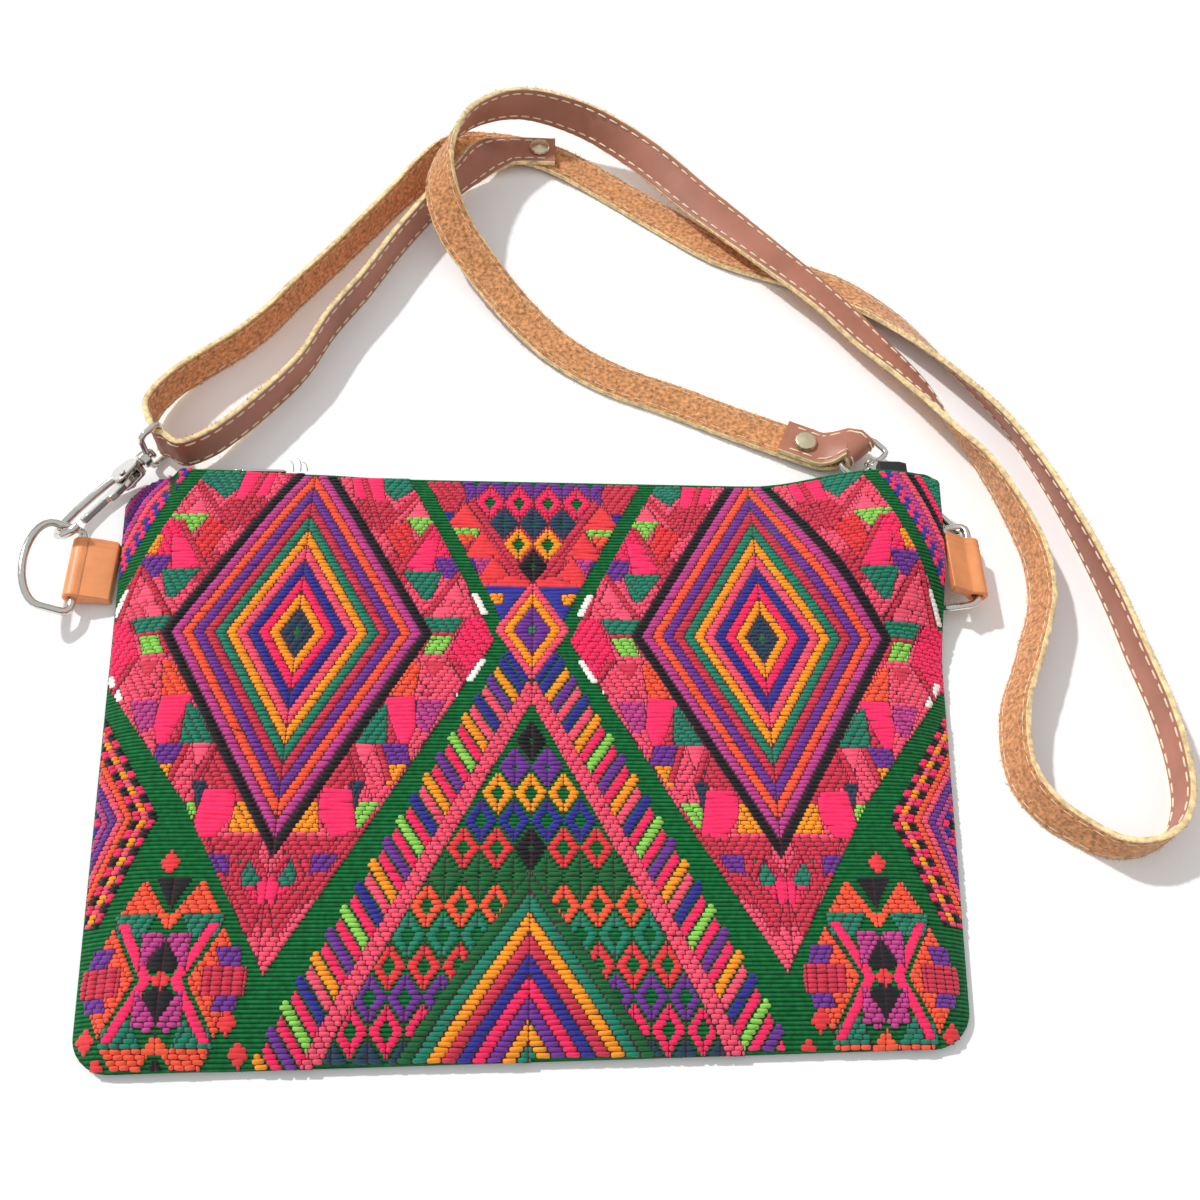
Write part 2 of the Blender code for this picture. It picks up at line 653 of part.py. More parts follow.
def zip_comb(name, upper, mats):
    """Make one half of the zip: its tape and its row of teeth."""
    start, end = ZIP_X
    count = int((end - start) / ZIP_PITCH)
    outline = []
    base = ZIP_BASE + (ZIP_HEIGHT if upper else 0.0)
    sign = -1.0 if upper else 1.0
    shift = 0.5 * ZIP_PITCH if upper else 0.0
    rows = []
    for k in range(count):
        x = start + shift + (k + 0.25) * ZIP_PITCH
        for spot, rise in ((x, 0.0), (x + 0.12 * ZIP_PITCH, ZIP_TOOTH), (x + 0.28 * ZIP_PITCH, ZIP_TOOTH),
                           (x + 0.4 * ZIP_PITCH, 0.0)):
            if spot < end:
                rows.append((spot, rise))
    rows = [(start, 0.0)] + rows + [(end, 0.0)]
    for x, rise in rows:
        outline.append((x, base + lift(x, TOP_Y) + sign * (ZIP_TAPE + rise)))
    for x, rise in reversed(rows):
        if rise == 0.0:
            outline.append((x, base + lift(x, TOP_Y)))
    comb = prism_mesh(name, outline, -ZIP_Y[1], -ZIP_Y[0])
    comb.transform(Matrix.Rotation(math.radians(90), 4, "X"))
    obj = place(name, comb, mats["zip"])
    steps = [x for x, rise in rows if rise == 0.0]
    bent = [x for x in steps if lift(x + ZIP_PITCH, TOP_Y) > 0.0]
    steps = steps[:1] + bent
    inner = 0.08 * MM
    strip = [(x, base + lift(x, TOP_Y) + sign * (ZIP_TAPE - inner)) for x in steps]
    strip += [(x, base + lift(x, TOP_Y) + sign * inner) for x in reversed(steps)]
    tape = prism_mesh(name + "_tape", strip, -ZIP_Y[0] - 0.8 * MM, -ZIP_TAPE_Y)
    tape.transform(Matrix.Rotation(math.radians(90), 4, "X"))
    combine(obj, place(name + "_tape", tape, mats["zip"]), "UNION")


def build_zip(mats):
    """Make the zip, its black end tab, its slider and its pull."""
    zip_comb("zip_half_back", False, mats)
    zip_comb("zip_half_front", True, mats)
    start = ZIP_X[1] + CLEAR
    steps = [start + END_TAB_LENGTH * k / 4 for k in range(5)]
    low = BACK_THICK + CLEAR
    high = ZIP_BASE + ZIP_HEIGHT
    side = [(x, low + lift(x, TOP_Y)) for x in steps]
    side += [(x, (high if k else high - 1.0 * MM) + lift(x, TOP_Y)) for k, x in enumerate(reversed(steps))]
    tab = prism_mesh("zip_end_tab", side, -TOP_Y - 2.6 * MM, -ZIP_TAPE_Y - 6.0 * MM)
    tab.transform(Matrix.Rotation(math.radians(90), 4, "X"))
    place("zip_end_tab", tab, mats["zip"])

    # The slider is a channel around the chain, open to the pouch.
    middle = ZIP_BASE + 0.5 * ZIP_HEIGHT
    half = 0.5 * ZIP_HEIGHT + CLEAR
    inside = ZIP_Y[1] + CLEAR
    channel = [(ZIP_Y[0], half), (ZIP_Y[0], half + 0.45 * MM), (inside + SLIDER_WALL, half + 0.45 * MM),
               (inside + SLIDER_WALL, -half - 0.45 * MM), (ZIP_Y[0], -half - 0.45 * MM), (ZIP_Y[0], -half),
               (inside, -half), (inside, half)]
    slider = prism_mesh("zip_slider", channel, -0.5 * SLIDER_LENGTH, 0.5 * SLIDER_LENGTH)
    turn = Matrix(((0, 0, 1, 0), (1, 0, 0, 0), (0, 1, 0, 0), (0, 0, 0, 1)))
    slider.transform(turn)
    spot = Vector((SLIDER_X, 0.0, middle))
    body = place("zip_slider", slider, mats["nickel"], Matrix.Translation(spot))
    face = inside + SLIDER_WALL
    bail = [(0.0, face - 0.3 * MM, -BAIL_HALF), (0.0, face + BAIL_REACH, -BAIL_HALF),
            (0.0, face + BAIL_REACH, BAIL_HALF), (0.0, face - 0.3 * MM, BAIL_HALF)]
    loop = place("slider_bail", sweep_mesh("slider_bail", bail, BAIL_WIRE, 6), mats["nickel"],
                 Matrix.Translation(spot))
    combine(body, loop, "UNION")

    # The pull turns on the bail and lies along the chain.
    length, thick, height = PULL_SIZE
    hinge = Vector((SLIDER_X, face + BAIL_REACH, middle))
    neck = BAIL_HALF - BAIL_WIRE - 0.15 * MM
    knuckle = BAIL_WIRE + 0.15 * MM + 0.5 * MM
    start = knuckle - 0.25 * MM
    waist = neck - 0.1 * MM
    outline = [(start, -waist), (knuckle + 0.7 * MM, -waist), (knuckle + 1.9 * MM, -0.5 * height),
               (length - 1.0 * MM, -0.5 * height), (length, -0.5 * height + 1.0 * MM),
               (length, 0.5 * height - 1.0 * MM), (length - 1.0 * MM, 0.5 * height),
               (knuckle + 1.9 * MM, 0.5 * height), (knuckle + 0.7 * MM, waist), (start, waist)]
    plate = prism_mesh("zip_pull", outline, -0.5 * thick, 0.5 * thick)
    plate.transform(Matrix.Rotation(math.radians(90), 4, "X"))
    pull = place("zip_pull", plate, mats["nickel"], Matrix.Translation(hinge))
    upright = Matrix.Rotation(math.radians(-90), 4, "Y")
    for name, reach, radius, kind in (("pull_knuckle", neck, knuckle, "UNION"),
                                      ("pull_bore", 2.0 * neck, BAIL_WIRE + 0.15 * MM, "DIFFERENCE")):
        tube = lathe_mesh(name, [(-reach, 0.0), (-reach, radius), (reach, radius), (reach, 0.0)], 10)
        tube.transform(upright)
        combine(pull, place(name, tube, mats["nickel"], Matrix.Translation(hinge)), kind)


def ring_line():
    """Return a D-ring's centre line: its bar on the Y axis and its round end towards -X."""
    points = []
    for side in (1, -1):
        arc = []
        for k in range(4):
            angle = 0.5 * math.pi * k / 3
            arc.append((-RING_CORNER * (1.0 - math.cos(angle)),
                        side * (RING_HALF - RING_CORNER + RING_CORNER * math.sin(angle)), 0.0))
        for k in range(0, 7):
            angle = 0.5 * math.pi * k / 7
            arc.append((-RING_SIDE - (RING_DEPTH - RING_SIDE) * math.sin(angle), side * RING_HALF * math.cos(angle),
                        0.0))
        points.append(arc)
    tip = [(-RING_DEPTH, 0.0, 0.0)]
    return points[0] + tip + points[1][::-1]


def build_tab(name, x, y, z, out, mats):
    """Make one leather tab: a strip folded round the ring's bar and sewn flat towards the pouch."""
    inner = RING_WIRE + CLEAR
    outer = inner + TAB_LEATHER
    edge = half_width(y + 0.5 * TAB_WIDTH) + CLEAR
    root = abs(x) - edge
    seam_z = lift(out * edge, y) + BACK_THICK + CLEAR + 0.5 * RIM_THICK - z
    hole, skin = [], []
    join = Vector((-inner - 2.0 * MM, 0.35 * seam_z))
    side = TAB_LEATHER * Vector((join.y, -join.x)).normalized()
    back = math.atan2(join.y, join.x) - math.pi
    spread = math.pi - math.acos(inner / join.length)
    for k in range(11):
        angle = back + spread * (0.2 * k - 1.0)
        hole.append((inner * math.cos(angle), inner * math.sin(angle)))
        skin.append((outer * math.cos(angle), outer * math.sin(angle)))
    hole.append((join.x, join.y))
    skin += [(join.x + side.x, join.y + side.y), (-root, seam_z + TAB_LEATHER)]
    skin += [(-root, seam_z - TAB_LEATHER), (join.x - side.x, join.y - side.y)]
    turn = Matrix(((out, 0, 0, 0), (0, 0, 1, 0), (0, 1, 0, 0), (0, 0, 0, 1)))
    spot = Matrix.Translation((x, y, z))
    body = prism_mesh(name, skin, -0.5 * TAB_WIDTH, 0.5 * TAB_WIDTH)
    body.transform(turn)
    cut = prism_mesh(name + "_hole", hole, -TAB_WIDTH, TAB_WIDTH)
    cut.transform(turn)
    combine(place(name, body, mats["tan"], spot), place(name + "_hole", cut, mats["tan"], spot), "DIFFERENCE")


def build_rings(mats):
    """Make the two tabs and the two D-rings, each ring with its origin on its bar."""
    for name, spot, tab_y, tilt, out in (
        ("left", ring_spot(LEFT_RING, -1), LEFT_TAB_Y, LEFT_RING_TILT, -1),
        ("right", ring_spot(RIGHT_RING, 1), RIGHT_TAB_Y, RIGHT_RING_TILT, 1),
    ):
        build_tab(name + "_tab", spot.x, tab_y, spot.z, out, mats)
        turn = Matrix.Rotation(math.radians(tilt), 4, "Y")
        wire = sweep_mesh(name + "_ring", ring_line(), RING_WIRE, 8, True)
        place(name + "_ring", wire, mats["nickel"], Matrix.Translation(spot) @ turn, smooth=True)


def ring_point(spot, tilt, depth):
    """Return the point on a D-ring's upper side at a depth from its bar."""
    angle = math.radians(tilt)
    return Vector((spot[0] - depth * math.cos(angle), spot[1] + RING_HALF, spot[2] + depth * math.sin(angle)))


def clip_frame(origin, heading, side):
    """Return a clip's frame: X along it, Y towards the back of its bow."""
    along = Vector((heading.x, heading.y, 0.0)).normalized()
    right = Vector((along.y, -along.x, 0.0)) * side
    roll = math.radians(CLIP_ROLL)
    return frame(origin, along, right * math.cos(roll) - Vector((0.0, 0.0, 1.0)) * math.sin(roll))


HOOK_LINE = [
    (4.0, 1.2), (7.5, 4.2), (13.0, 5.9), (20.0, 6.4), (28.0, 6.1), (34.0, 4.9), (38.2, 2.8), (40.0, 0.0),
    (39.2, -3.2), (36.6, -5.4), (33.6, -6.0),
]


def build_clip(name, matrix, mats):
    """Make one snap hook with its gate, gate pin and gate spring, in its own frame."""
    hook_points = [(s * MM * HOOK_LENGTH / (40.0 * MM), t * MM * HOOK_REACH / (6.2 * MM), 0.0) for s, t in HOOK_LINE]
    outer = 0.5 * CHEEK_GAP + CHEEK_WALL
    block = [(1.2, -2.6), (3.0, -4.6), (9.5, -6.2), (12.2, -5.6), (12.6, -1.4), (11.0, 3.0), (8.0, 5.6), (3.0, 4.0),
             (1.2, 2.2)]
    body = place(name + "_hook", prism_mesh(name + "_hook", [(s * MM, t * MM) for s, t in block], -outer, outer),
                 mats["nickel"], matrix)
    bow = place(name + "_bow", sweep_mesh(name + "_bow", hook_points, HOOK_ROD), mats["nickel"], matrix)
    combine(body, bow, "UNION")
    head = COLLAR_LENGTH + 0.2 * MM + EYE_WIRE + CLEAR
    stem = [(2.2 * MM, 0.0), (2.2 * MM, STEM_RADIUS), (-head, STEM_RADIUS), (-head, 2.3 * MM),
            (-head - 1.1 * MM, 2.0 * MM), (-head - 1.1 * MM, 0.0)]
    combine(body, place(name + "_stem", lathe_mesh(name + "_stem", stem, 12), mats["nickel"], matrix), "UNION")
    pocket = [(4.2, -8.0), (15.0, -8.0), (15.0, 1.4), (4.2, 1.4)]
    cut = prism_mesh(name + "_pocket", [(s * MM, t * MM) for s, t in pocket], -0.5 * CHEEK_GAP, 0.5 * CHEEK_GAP)
    combine(body, place(name + "_pocket", cut, mats["nickel"], matrix), "DIFFERENCE")

    pivot = Vector((GATE_PIVOT[0], GATE_PIVOT[1], 0.0))
    at_pivot = matrix @ Matrix.Translation(pivot)
    turn = Matrix.Rotation(math.radians(90), 4, "Y")
    hole = lathe_mesh(name + "_pin_hole", [(-2 * outer, 0.0), (-2 * outer, PIN_RADIUS + 0.1 * MM),
                                           (2 * outer, PIN_RADIUS + 0.1 * MM), (2 * outer, 0.0)], 12)
    hole.transform(turn)
    combine(body, place(name + "_pin_hole", hole, mats["nickel"], at_pivot), "DIFFERENCE")
    shank, cap = outer + 0.2 * MM, PIN_RADIUS + 0.6 * MM
    pin = lathe_mesh(name + "_gate_pin", [(-shank - 0.6 * MM, 0.0), (-shank - 0.6 * MM, cap), (-shank, cap),
                                          (-shank, PIN_RADIUS), (shank, PIN_RADIUS), (shank, cap),
                                          (shank + 0.6 * MM, cap), (shank + 0.6 * MM, 0.0)], 12)
    pin.transform(turn)
    place(name + "_gate_pin", pin, mats["nickel"], at_pivot, smooth=True)

    reach = Vector((GATE_END[0] - GATE_PIVOT[0], GATE_END[1] - GATE_PIVOT[1]))
    lever = [(-1.9, -1.7), (0.6, -2.4), (3.5, -3.6), (8.0, -3.9), (10.5, -3.2), (11.5, -1.5), (reach.x / MM, -1.2),
             (reach.x / MM, 1.0), (10.0, 1.1), (5.0, 1.5), (0.6, 1.9), (-1.3, 1.4)]
    slope = math.atan2(reach.y, reach.x)
    flat = prism_mesh(name + "_gate", [(s * MM, t * MM) for s, t in lever], -0.5 * GATE_THICK, 0.5 * GATE_THICK)
    gate = place(name + "_gate", flat, mats["nickel"], at_pivot @ Matrix.Rotation(slope, 4, "Z"))
    bore = lathe_mesh(name + "_bore", [(-2 * outer, 0.0), (-2 * outer, PIN_RADIUS + 0.1 * MM),
                                       (2 * outer, PIN_RADIUS + 0.1 * MM), (2 * outer, 0.0)], 12)
    bore.transform(turn)
    combine(gate, place(name + "_bore", bore, mats["nickel"], at_pivot), "DIFFERENCE")

    leaf = [(4.6, -0.6), (4.6, 1.1), (5.0, 1.1), (5.0, -0.2), (8.0, -0.75), (11.8, -0.6), (11.8, -1.0), (8.0, -1.15)]
    spring = prism_mesh(name + "_gate_spring", [(s * MM, t * MM) for s, t in leaf], -0.8 * MM, 0.8 * MM)
    place(name + "_gate_spring", spring, mats["nickel"], matrix)


def build_eye(name, matrix, second, shift, mats):
    """Make a clip's strap eye: a loop for the strap with a collar that the hook's stem turns in."""
    half = 0.5 * STRAP_WIDTH + 0.7 * MM + EYE_WIRE
    near = -COLLAR_LENGTH - 0.2 * MM
    far = -EYE_BAR
    eye = frame(matrix.translation, matrix.col[0].xyz, second)
    corner = 2.2 * MM
    line = []
    for x0, y0, angle in ((far + corner, half - corner, 90), (far + corner, -half + corner, 180),
                          (near - corner, -half + corner, 270), (near - corner, half - corner, 0)):
        for k in range(3):
            turn = math.radians(angle + 45 * k)
            line.append((x0 + corner * math.cos(turn), y0 + corner * math.sin(turn) + shift, 0.0))
    wire = sweep_mesh(name, line, EYE_WIRE, 8, True)
    body = place(name, wire, mats["nickel"], eye)
    collar = lathe_mesh(name + "_collar", [(-COLLAR_LENGTH, 0.0), (-COLLAR_LENGTH, COLLAR_RADIUS), (0.0, COLLAR_RADIUS),
                                           (0.0, 0.0)], 12)
    combine(body, place(name + "_collar", collar, mats["nickel"], eye), "UNION")
    bore = STEM_RADIUS + CLEAR
    hole = lathe_mesh(name + "_hole", [(-EYE_BAR + 3.0 * MM, 0.0), (-EYE_BAR + 3.0 * MM, bore), (2.0 * MM, bore),
                                       (2.0 * MM, 0.0)], 12)
    combine(body, place(name + "_hole", hole, mats["nickel"], eye), "DIFFERENCE")


def ring_spot(ring, side):
    """Return the middle of a D-ring's bar."""
    return Vector((side * (half_width(ring[1]) + ring[0]), ring[1], ring[2]))


def left_eye_spot():
    """Return the middle of the left eye."""
    return ring_spot(LEFT_RING, -1) + Vector(LEFT_EYE)


def left_clip():
    """Return the left swivel's place and heading: from the strap's eye to the left ring."""
    catch = ring_point(ring_spot(LEFT_RING, -1), LEFT_RING_TILT, CATCH_DEPTH)
    eye = left_eye_spot()
    heading = Vector((catch.x - eye.x, catch.y - eye.y, 0.0)).normalized()
    return catch - heading * LEFT_CATCH, heading


def right_clip():
    """Return the right swivel's place and heading: from under the strap's fold to the right ring."""
    catch = ring_point(ring_spot(RIGHT_RING, 1), RIGHT_RING_TILT, CATCH_DEPTH)
    angle = math.radians(RIGHT_HEADING)
    heading = Vector((math.cos(angle), math.sin(angle), 0.0))
    return catch - heading * RIGHT_CATCH, heading


def follow(x, y, z):
    """Return a point of the strap's routes, moved with the clips where they are elsewhere than in the routes."""
    spot = Vector((x, y, z)) * MM
    left, right = left_eye_spot(), right_clip()[0]
    for eye, drawn, side in ((left, ROUTE_EYES[0], -1), (right, ROUTE_EYES[1], 1)):
        share = smoothstep(side * spot.x, 0.0, ROUTE_REACH)
        spot += Vector((eye.x - drawn[0], eye.y - drawn[1], 0.0)) * share
    return spot


def strap_stations():
    """Return the strap's centre points and width directions."""
    left_origin, left_heading = left_clip()
    bar = left_origin - left_heading * EYE_BAR
    points = [(follow(*p[:3]), p[3], None) for p in ROUTE_IN]
    apex = math.atan2(left_heading.y, left_heading.x)
    for turn in (55, 20, -20, -55):
        angle = apex + math.radians(turn)
        spot = Vector((bar.x, bar.y, left_eye_spot().z)) + Vector((math.cos(angle), math.sin(angle), 0.0)) * FOLD_RADIUS
        points.append((spot, 90, angle - math.radians(90)))
    points += [(follow(*p[:3]), p[3], None) for p in ROUTE_OUT]
    right_origin, right_heading = right_clip()
    bar = right_origin - right_heading * EYE_BAR
    course = math.atan2(right_heading.y, right_heading.x)
    run_in = -3.0 * MM * right_heading
    for turn in (-90, -90, -45, 0, 45, 90, 90):
        angle = math.radians(turn)
        spot = bar + FOLD_RADIUS * (right_heading * math.cos(angle) + Vector((0.0, 0.0, math.sin(angle))))
        if len(points) in (len(ROUTE_IN) + 4 + len(ROUTE_OUT), len(ROUTE_IN) + 10 + len(ROUTE_OUT)):
            spot += run_in
        points.append((spot, 540, course))
    points += [(follow(*p[:3]), p[3], None) for p in ROUTE_BACK]

    controls = []
    for i, (spot, lean, course) in enumerate(points):
        if course is None:
            ahead = points[min(i + 1, len(points) - 1)][0] - points[max(i - 1, 0)][0]
            course = math.atan2(ahead.y, ahead.x)
        left = Vector((-math.sin(course), math.cos(course), 0.0))
        angle = math.radians(lean)
        controls.append((spot, left * math.cos(angle) - Vector((0.0, 0.0, 1.0)) * math.sin(angle)))
    return smooth_stations(controls)


def smooth_stations(controls):
    """Read a smooth curve through the control points, with a station about every STRAP_STEP."""
    stations = []
    spots = [c[0] for c in controls]
    spots = [2 * spots[0] - spots[1]] + spots + [2 * spots[-1] - spots[-2]]
    for i in range(len(controls) - 1):
        p0, p1, p2, p3 = spots[i:i + 4]
        t1 = (p1 - p0).length ** 0.5
        t2 = t1 + (p2 - p1).length ** 0.5
        t3 = t2 + (p3 - p2).length ** 0.5
        parts = max(1, round((p2 - p1).length / STRAP_STEP))
        for k in range(parts):
            t = t1 + (t2 - t1) * k / parts
            a1 = p0.lerp(p1, t / t1)
            a2 = p1.lerp(p2, (t - t1) / (t2 - t1))
            a3 = p2.lerp(p3, (t - t2) / (t3 - t2))
            b1 = a1.lerp(a2, t / t2)
            b2 = a2.lerp(a3, (t - t1) / (t3 - t1))
            side = controls[i][1].lerp(controls[i + 1][1], k / parts)
            stations.append((b1.lerp(b2, (t - t1) / (t2 - t1)), side))
    stations.append(controls[-1])
    return stations


def build_strap(mats):
    """Make the leather strap as one ribbon, and the rivet that closes each of its loops."""
    stations = strap_stations()
    verts, faces = [], []
    for i, (spot, side) in enumerate(stations):
        ahead = stations[min(i + 1, len(stations) - 1)][0] - stations[max(i - 1, 0)][0]
        ahead.normalize()
        side = (side - ahead * ahead.dot(side)).normalized()
        normal = ahead.cross(side)
        half, thick = 0.5 * STRAP_WIDTH, 0.5 * STRAP_THICK
        for a, b in ((1, 1), (-1, 1), (-1, -1), (1, -1)):
            verts.append(spot + side * (half * a) + normal * (thick * b))
    for i in range(len(stations) - 1):
        for k in range(4):
            m = (k + 1) % 4
            faces.append((4 * i + k, 4 * i + m, 4 * i + 4 + m, 4 * i + 4 + k))
    last = 4 * (len(stations) - 1)
    faces += [(0, 1, 2, 3), (last, last + 1, last + 2, last + 3)]
    strap = place("strap", mesh_from("strap", verts, faces), mats["strap"])
    turn = Matrix.Rotation(math.radians(-90), 4, "Y")
    for name, spot in (("left_rivet", LEFT_RIVET), ("right_rivet", RIGHT_RIVET)):
        base = Matrix.Translation(follow(*spot, CLEAR / MM))
        floor = RIVET_BASE
        roof = floor + 2.0 * STRAP_THICK + 4.0 * CLEAR
        profile = [(0.0, 0.0), (0.0, RIVET_HEAD), (floor, RIVET_HEAD), (floor, RIVET_POST), (roof, RIVET_POST),
                   (roof, RIVET_HEAD), (roof + 0.6 * RIVET_DOME, 0.85 * RIVET_HEAD), (roof + RIVET_DOME, 0.0)]
        rivet = lathe_mesh(name, profile, 12)
        rivet.transform(turn)
        place(name, rivet, mats["nickel"], base, smooth=True)
        cut = lathe_mesh(name + "_hole", [(floor - 0.5 * MM, 0.0), (floor - 0.5 * MM, RIVET_POST + CLEAR),
                                          (roof + 1.0 * MM, RIVET_POST + CLEAR), (roof + 1.0 * MM, 0.0)], 10)
        cut.transform(turn)
        combine(strap, place(name + "_hole", cut, mats["strap"], base), "DIFFERENCE")


def main():
    """Clear the scene and build the bag."""
    for obj in list(bpy.data.objects):
        bpy.data.objects.remove(obj, do_unlink=True)
    mats = {
        "cloth": material("green_cloth", (0.02, 0.10, 0.04), 0.9),
        "brocade": material("brocade", (0.55, 0.06, 0.12), 0.85),
        "lining": material("lining", (0.05, 0.05, 0.06), 0.9),
        "zip": material("zip_black", (0.02, 0.02, 0.025), 0.5),
        "tan": material("tan_leather", (0.80, 0.33, 0.13), 0.55),
        "strap": material("strap_leather", (0.42, 0.16, 0.09), 0.6),
        "nickel": material("nickel", (0.75, 0.74, 0.70), 0.2, 1.0),
    }
    build_panels(mats)
    build_lining(mats)
    build_zip(mats)
    build_rings(mats)
    for name, (origin, heading), side, second, shift in (
        ("left", left_clip(), 1, Vector((0.0, 0.0, 1.0)), left_eye_spot().z - left_clip()[0].z),
        ("right", right_clip(), -1, None, 0.0),
    ):
        matrix = clip_frame(origin, heading, side)
        build_clip(name, matrix, mats)
        if second is None:
            second = Vector((-heading.y, heading.x, 0.0))
        build_eye(name + "_eye", matrix, second, shift, mats)
    build_strap(mats)


main()
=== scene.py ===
"""Crossbody bag: a zipped brocade pouch with leather tabs, D-rings, snap hooks and a leather strap.

Every length is in metres unless a name ends in _mm. +X is to the right, +Y towards the zip and
+Z out of the front. The pouch lies on its back and the strap lies loose above it.
"""

import logging
import math
from dataclasses import dataclass, field
from enum import Enum

import bpy
import numpy as np
from mathutils import Matrix, Vector


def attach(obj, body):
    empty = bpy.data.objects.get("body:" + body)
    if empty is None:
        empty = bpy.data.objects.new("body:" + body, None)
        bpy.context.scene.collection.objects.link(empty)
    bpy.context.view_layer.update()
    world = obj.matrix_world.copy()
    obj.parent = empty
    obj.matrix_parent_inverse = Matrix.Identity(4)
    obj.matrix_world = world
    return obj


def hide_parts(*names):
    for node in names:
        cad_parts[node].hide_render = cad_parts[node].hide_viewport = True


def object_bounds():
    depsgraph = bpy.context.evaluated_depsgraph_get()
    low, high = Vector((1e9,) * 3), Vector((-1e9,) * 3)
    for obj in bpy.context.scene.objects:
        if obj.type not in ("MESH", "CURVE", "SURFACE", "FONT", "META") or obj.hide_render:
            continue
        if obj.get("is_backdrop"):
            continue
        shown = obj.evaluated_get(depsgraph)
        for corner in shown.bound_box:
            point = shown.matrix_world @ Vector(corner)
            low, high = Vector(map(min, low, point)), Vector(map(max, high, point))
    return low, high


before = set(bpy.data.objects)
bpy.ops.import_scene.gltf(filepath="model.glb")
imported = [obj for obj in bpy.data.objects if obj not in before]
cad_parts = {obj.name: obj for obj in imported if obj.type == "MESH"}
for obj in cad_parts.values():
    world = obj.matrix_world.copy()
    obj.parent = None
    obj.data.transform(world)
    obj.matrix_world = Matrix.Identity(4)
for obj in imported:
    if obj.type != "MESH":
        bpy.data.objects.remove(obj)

LOG = logging.getLogger("crossbody_bag")
MM = 0.001
Point = tuple[float, float]
Spot = tuple[float, float, float]
Station = tuple[float, float, float, float]
Float = tuple[float, float, float, int]


def srgb(code: str) -> tuple[float, float, float]:
    """Turn a hex colour into linear values.

    Args:
        code: six hex digits.

    Returns:
        Linear red, green and blue.
    """
    values = [int(code[i:i + 2], 16) / 255.0 for i in (0, 2, 4)]
    return tuple(v / 12.92 if v <= 0.04045 else ((v + 0.055) / 1.055) ** 2.4 for v in values)


class Yarn(Enum):
    """The brocade's yarns, each with its colour."""

    PINK = "FF2866"
    CORAL = "F85674"
    CRIMSON = "D4344E"
    RED = "EC3A40"
    ORANGE_RED = "FF5C3A"
    ORANGE = "FFA01C"
    LIME = "90D458"
    TEAL = "148468"
    GREEN = "0E6634"
    BLUE = "2E3196"
    PURPLE = "74349A"
    MAGENTA = "C64290"
    NAVY = "1E4259"
    BLACK = "17171C"
    WHITE = "F6F3EA"


class Lay(Enum):
    """How a filled shape is woven: long smooth floats, or cords that lean to one side."""

    SATIN = 0
    LEFT = -1
    RIGHT = 1
    UPRIGHT = 2


def smoothstep(value: np.ndarray, low: float, high: float) -> np.ndarray:
    """Ease from 0 at low to 1 at high.

    Args:
        value: the values to ease.
        low: where the rise starts.
        high: where it ends.

    Returns:
        The eased values.
    """
    share = np.clip((value - low) / (high - low), 0.0, 1.0)
    return share * share * (3.0 - 2.0 * share)


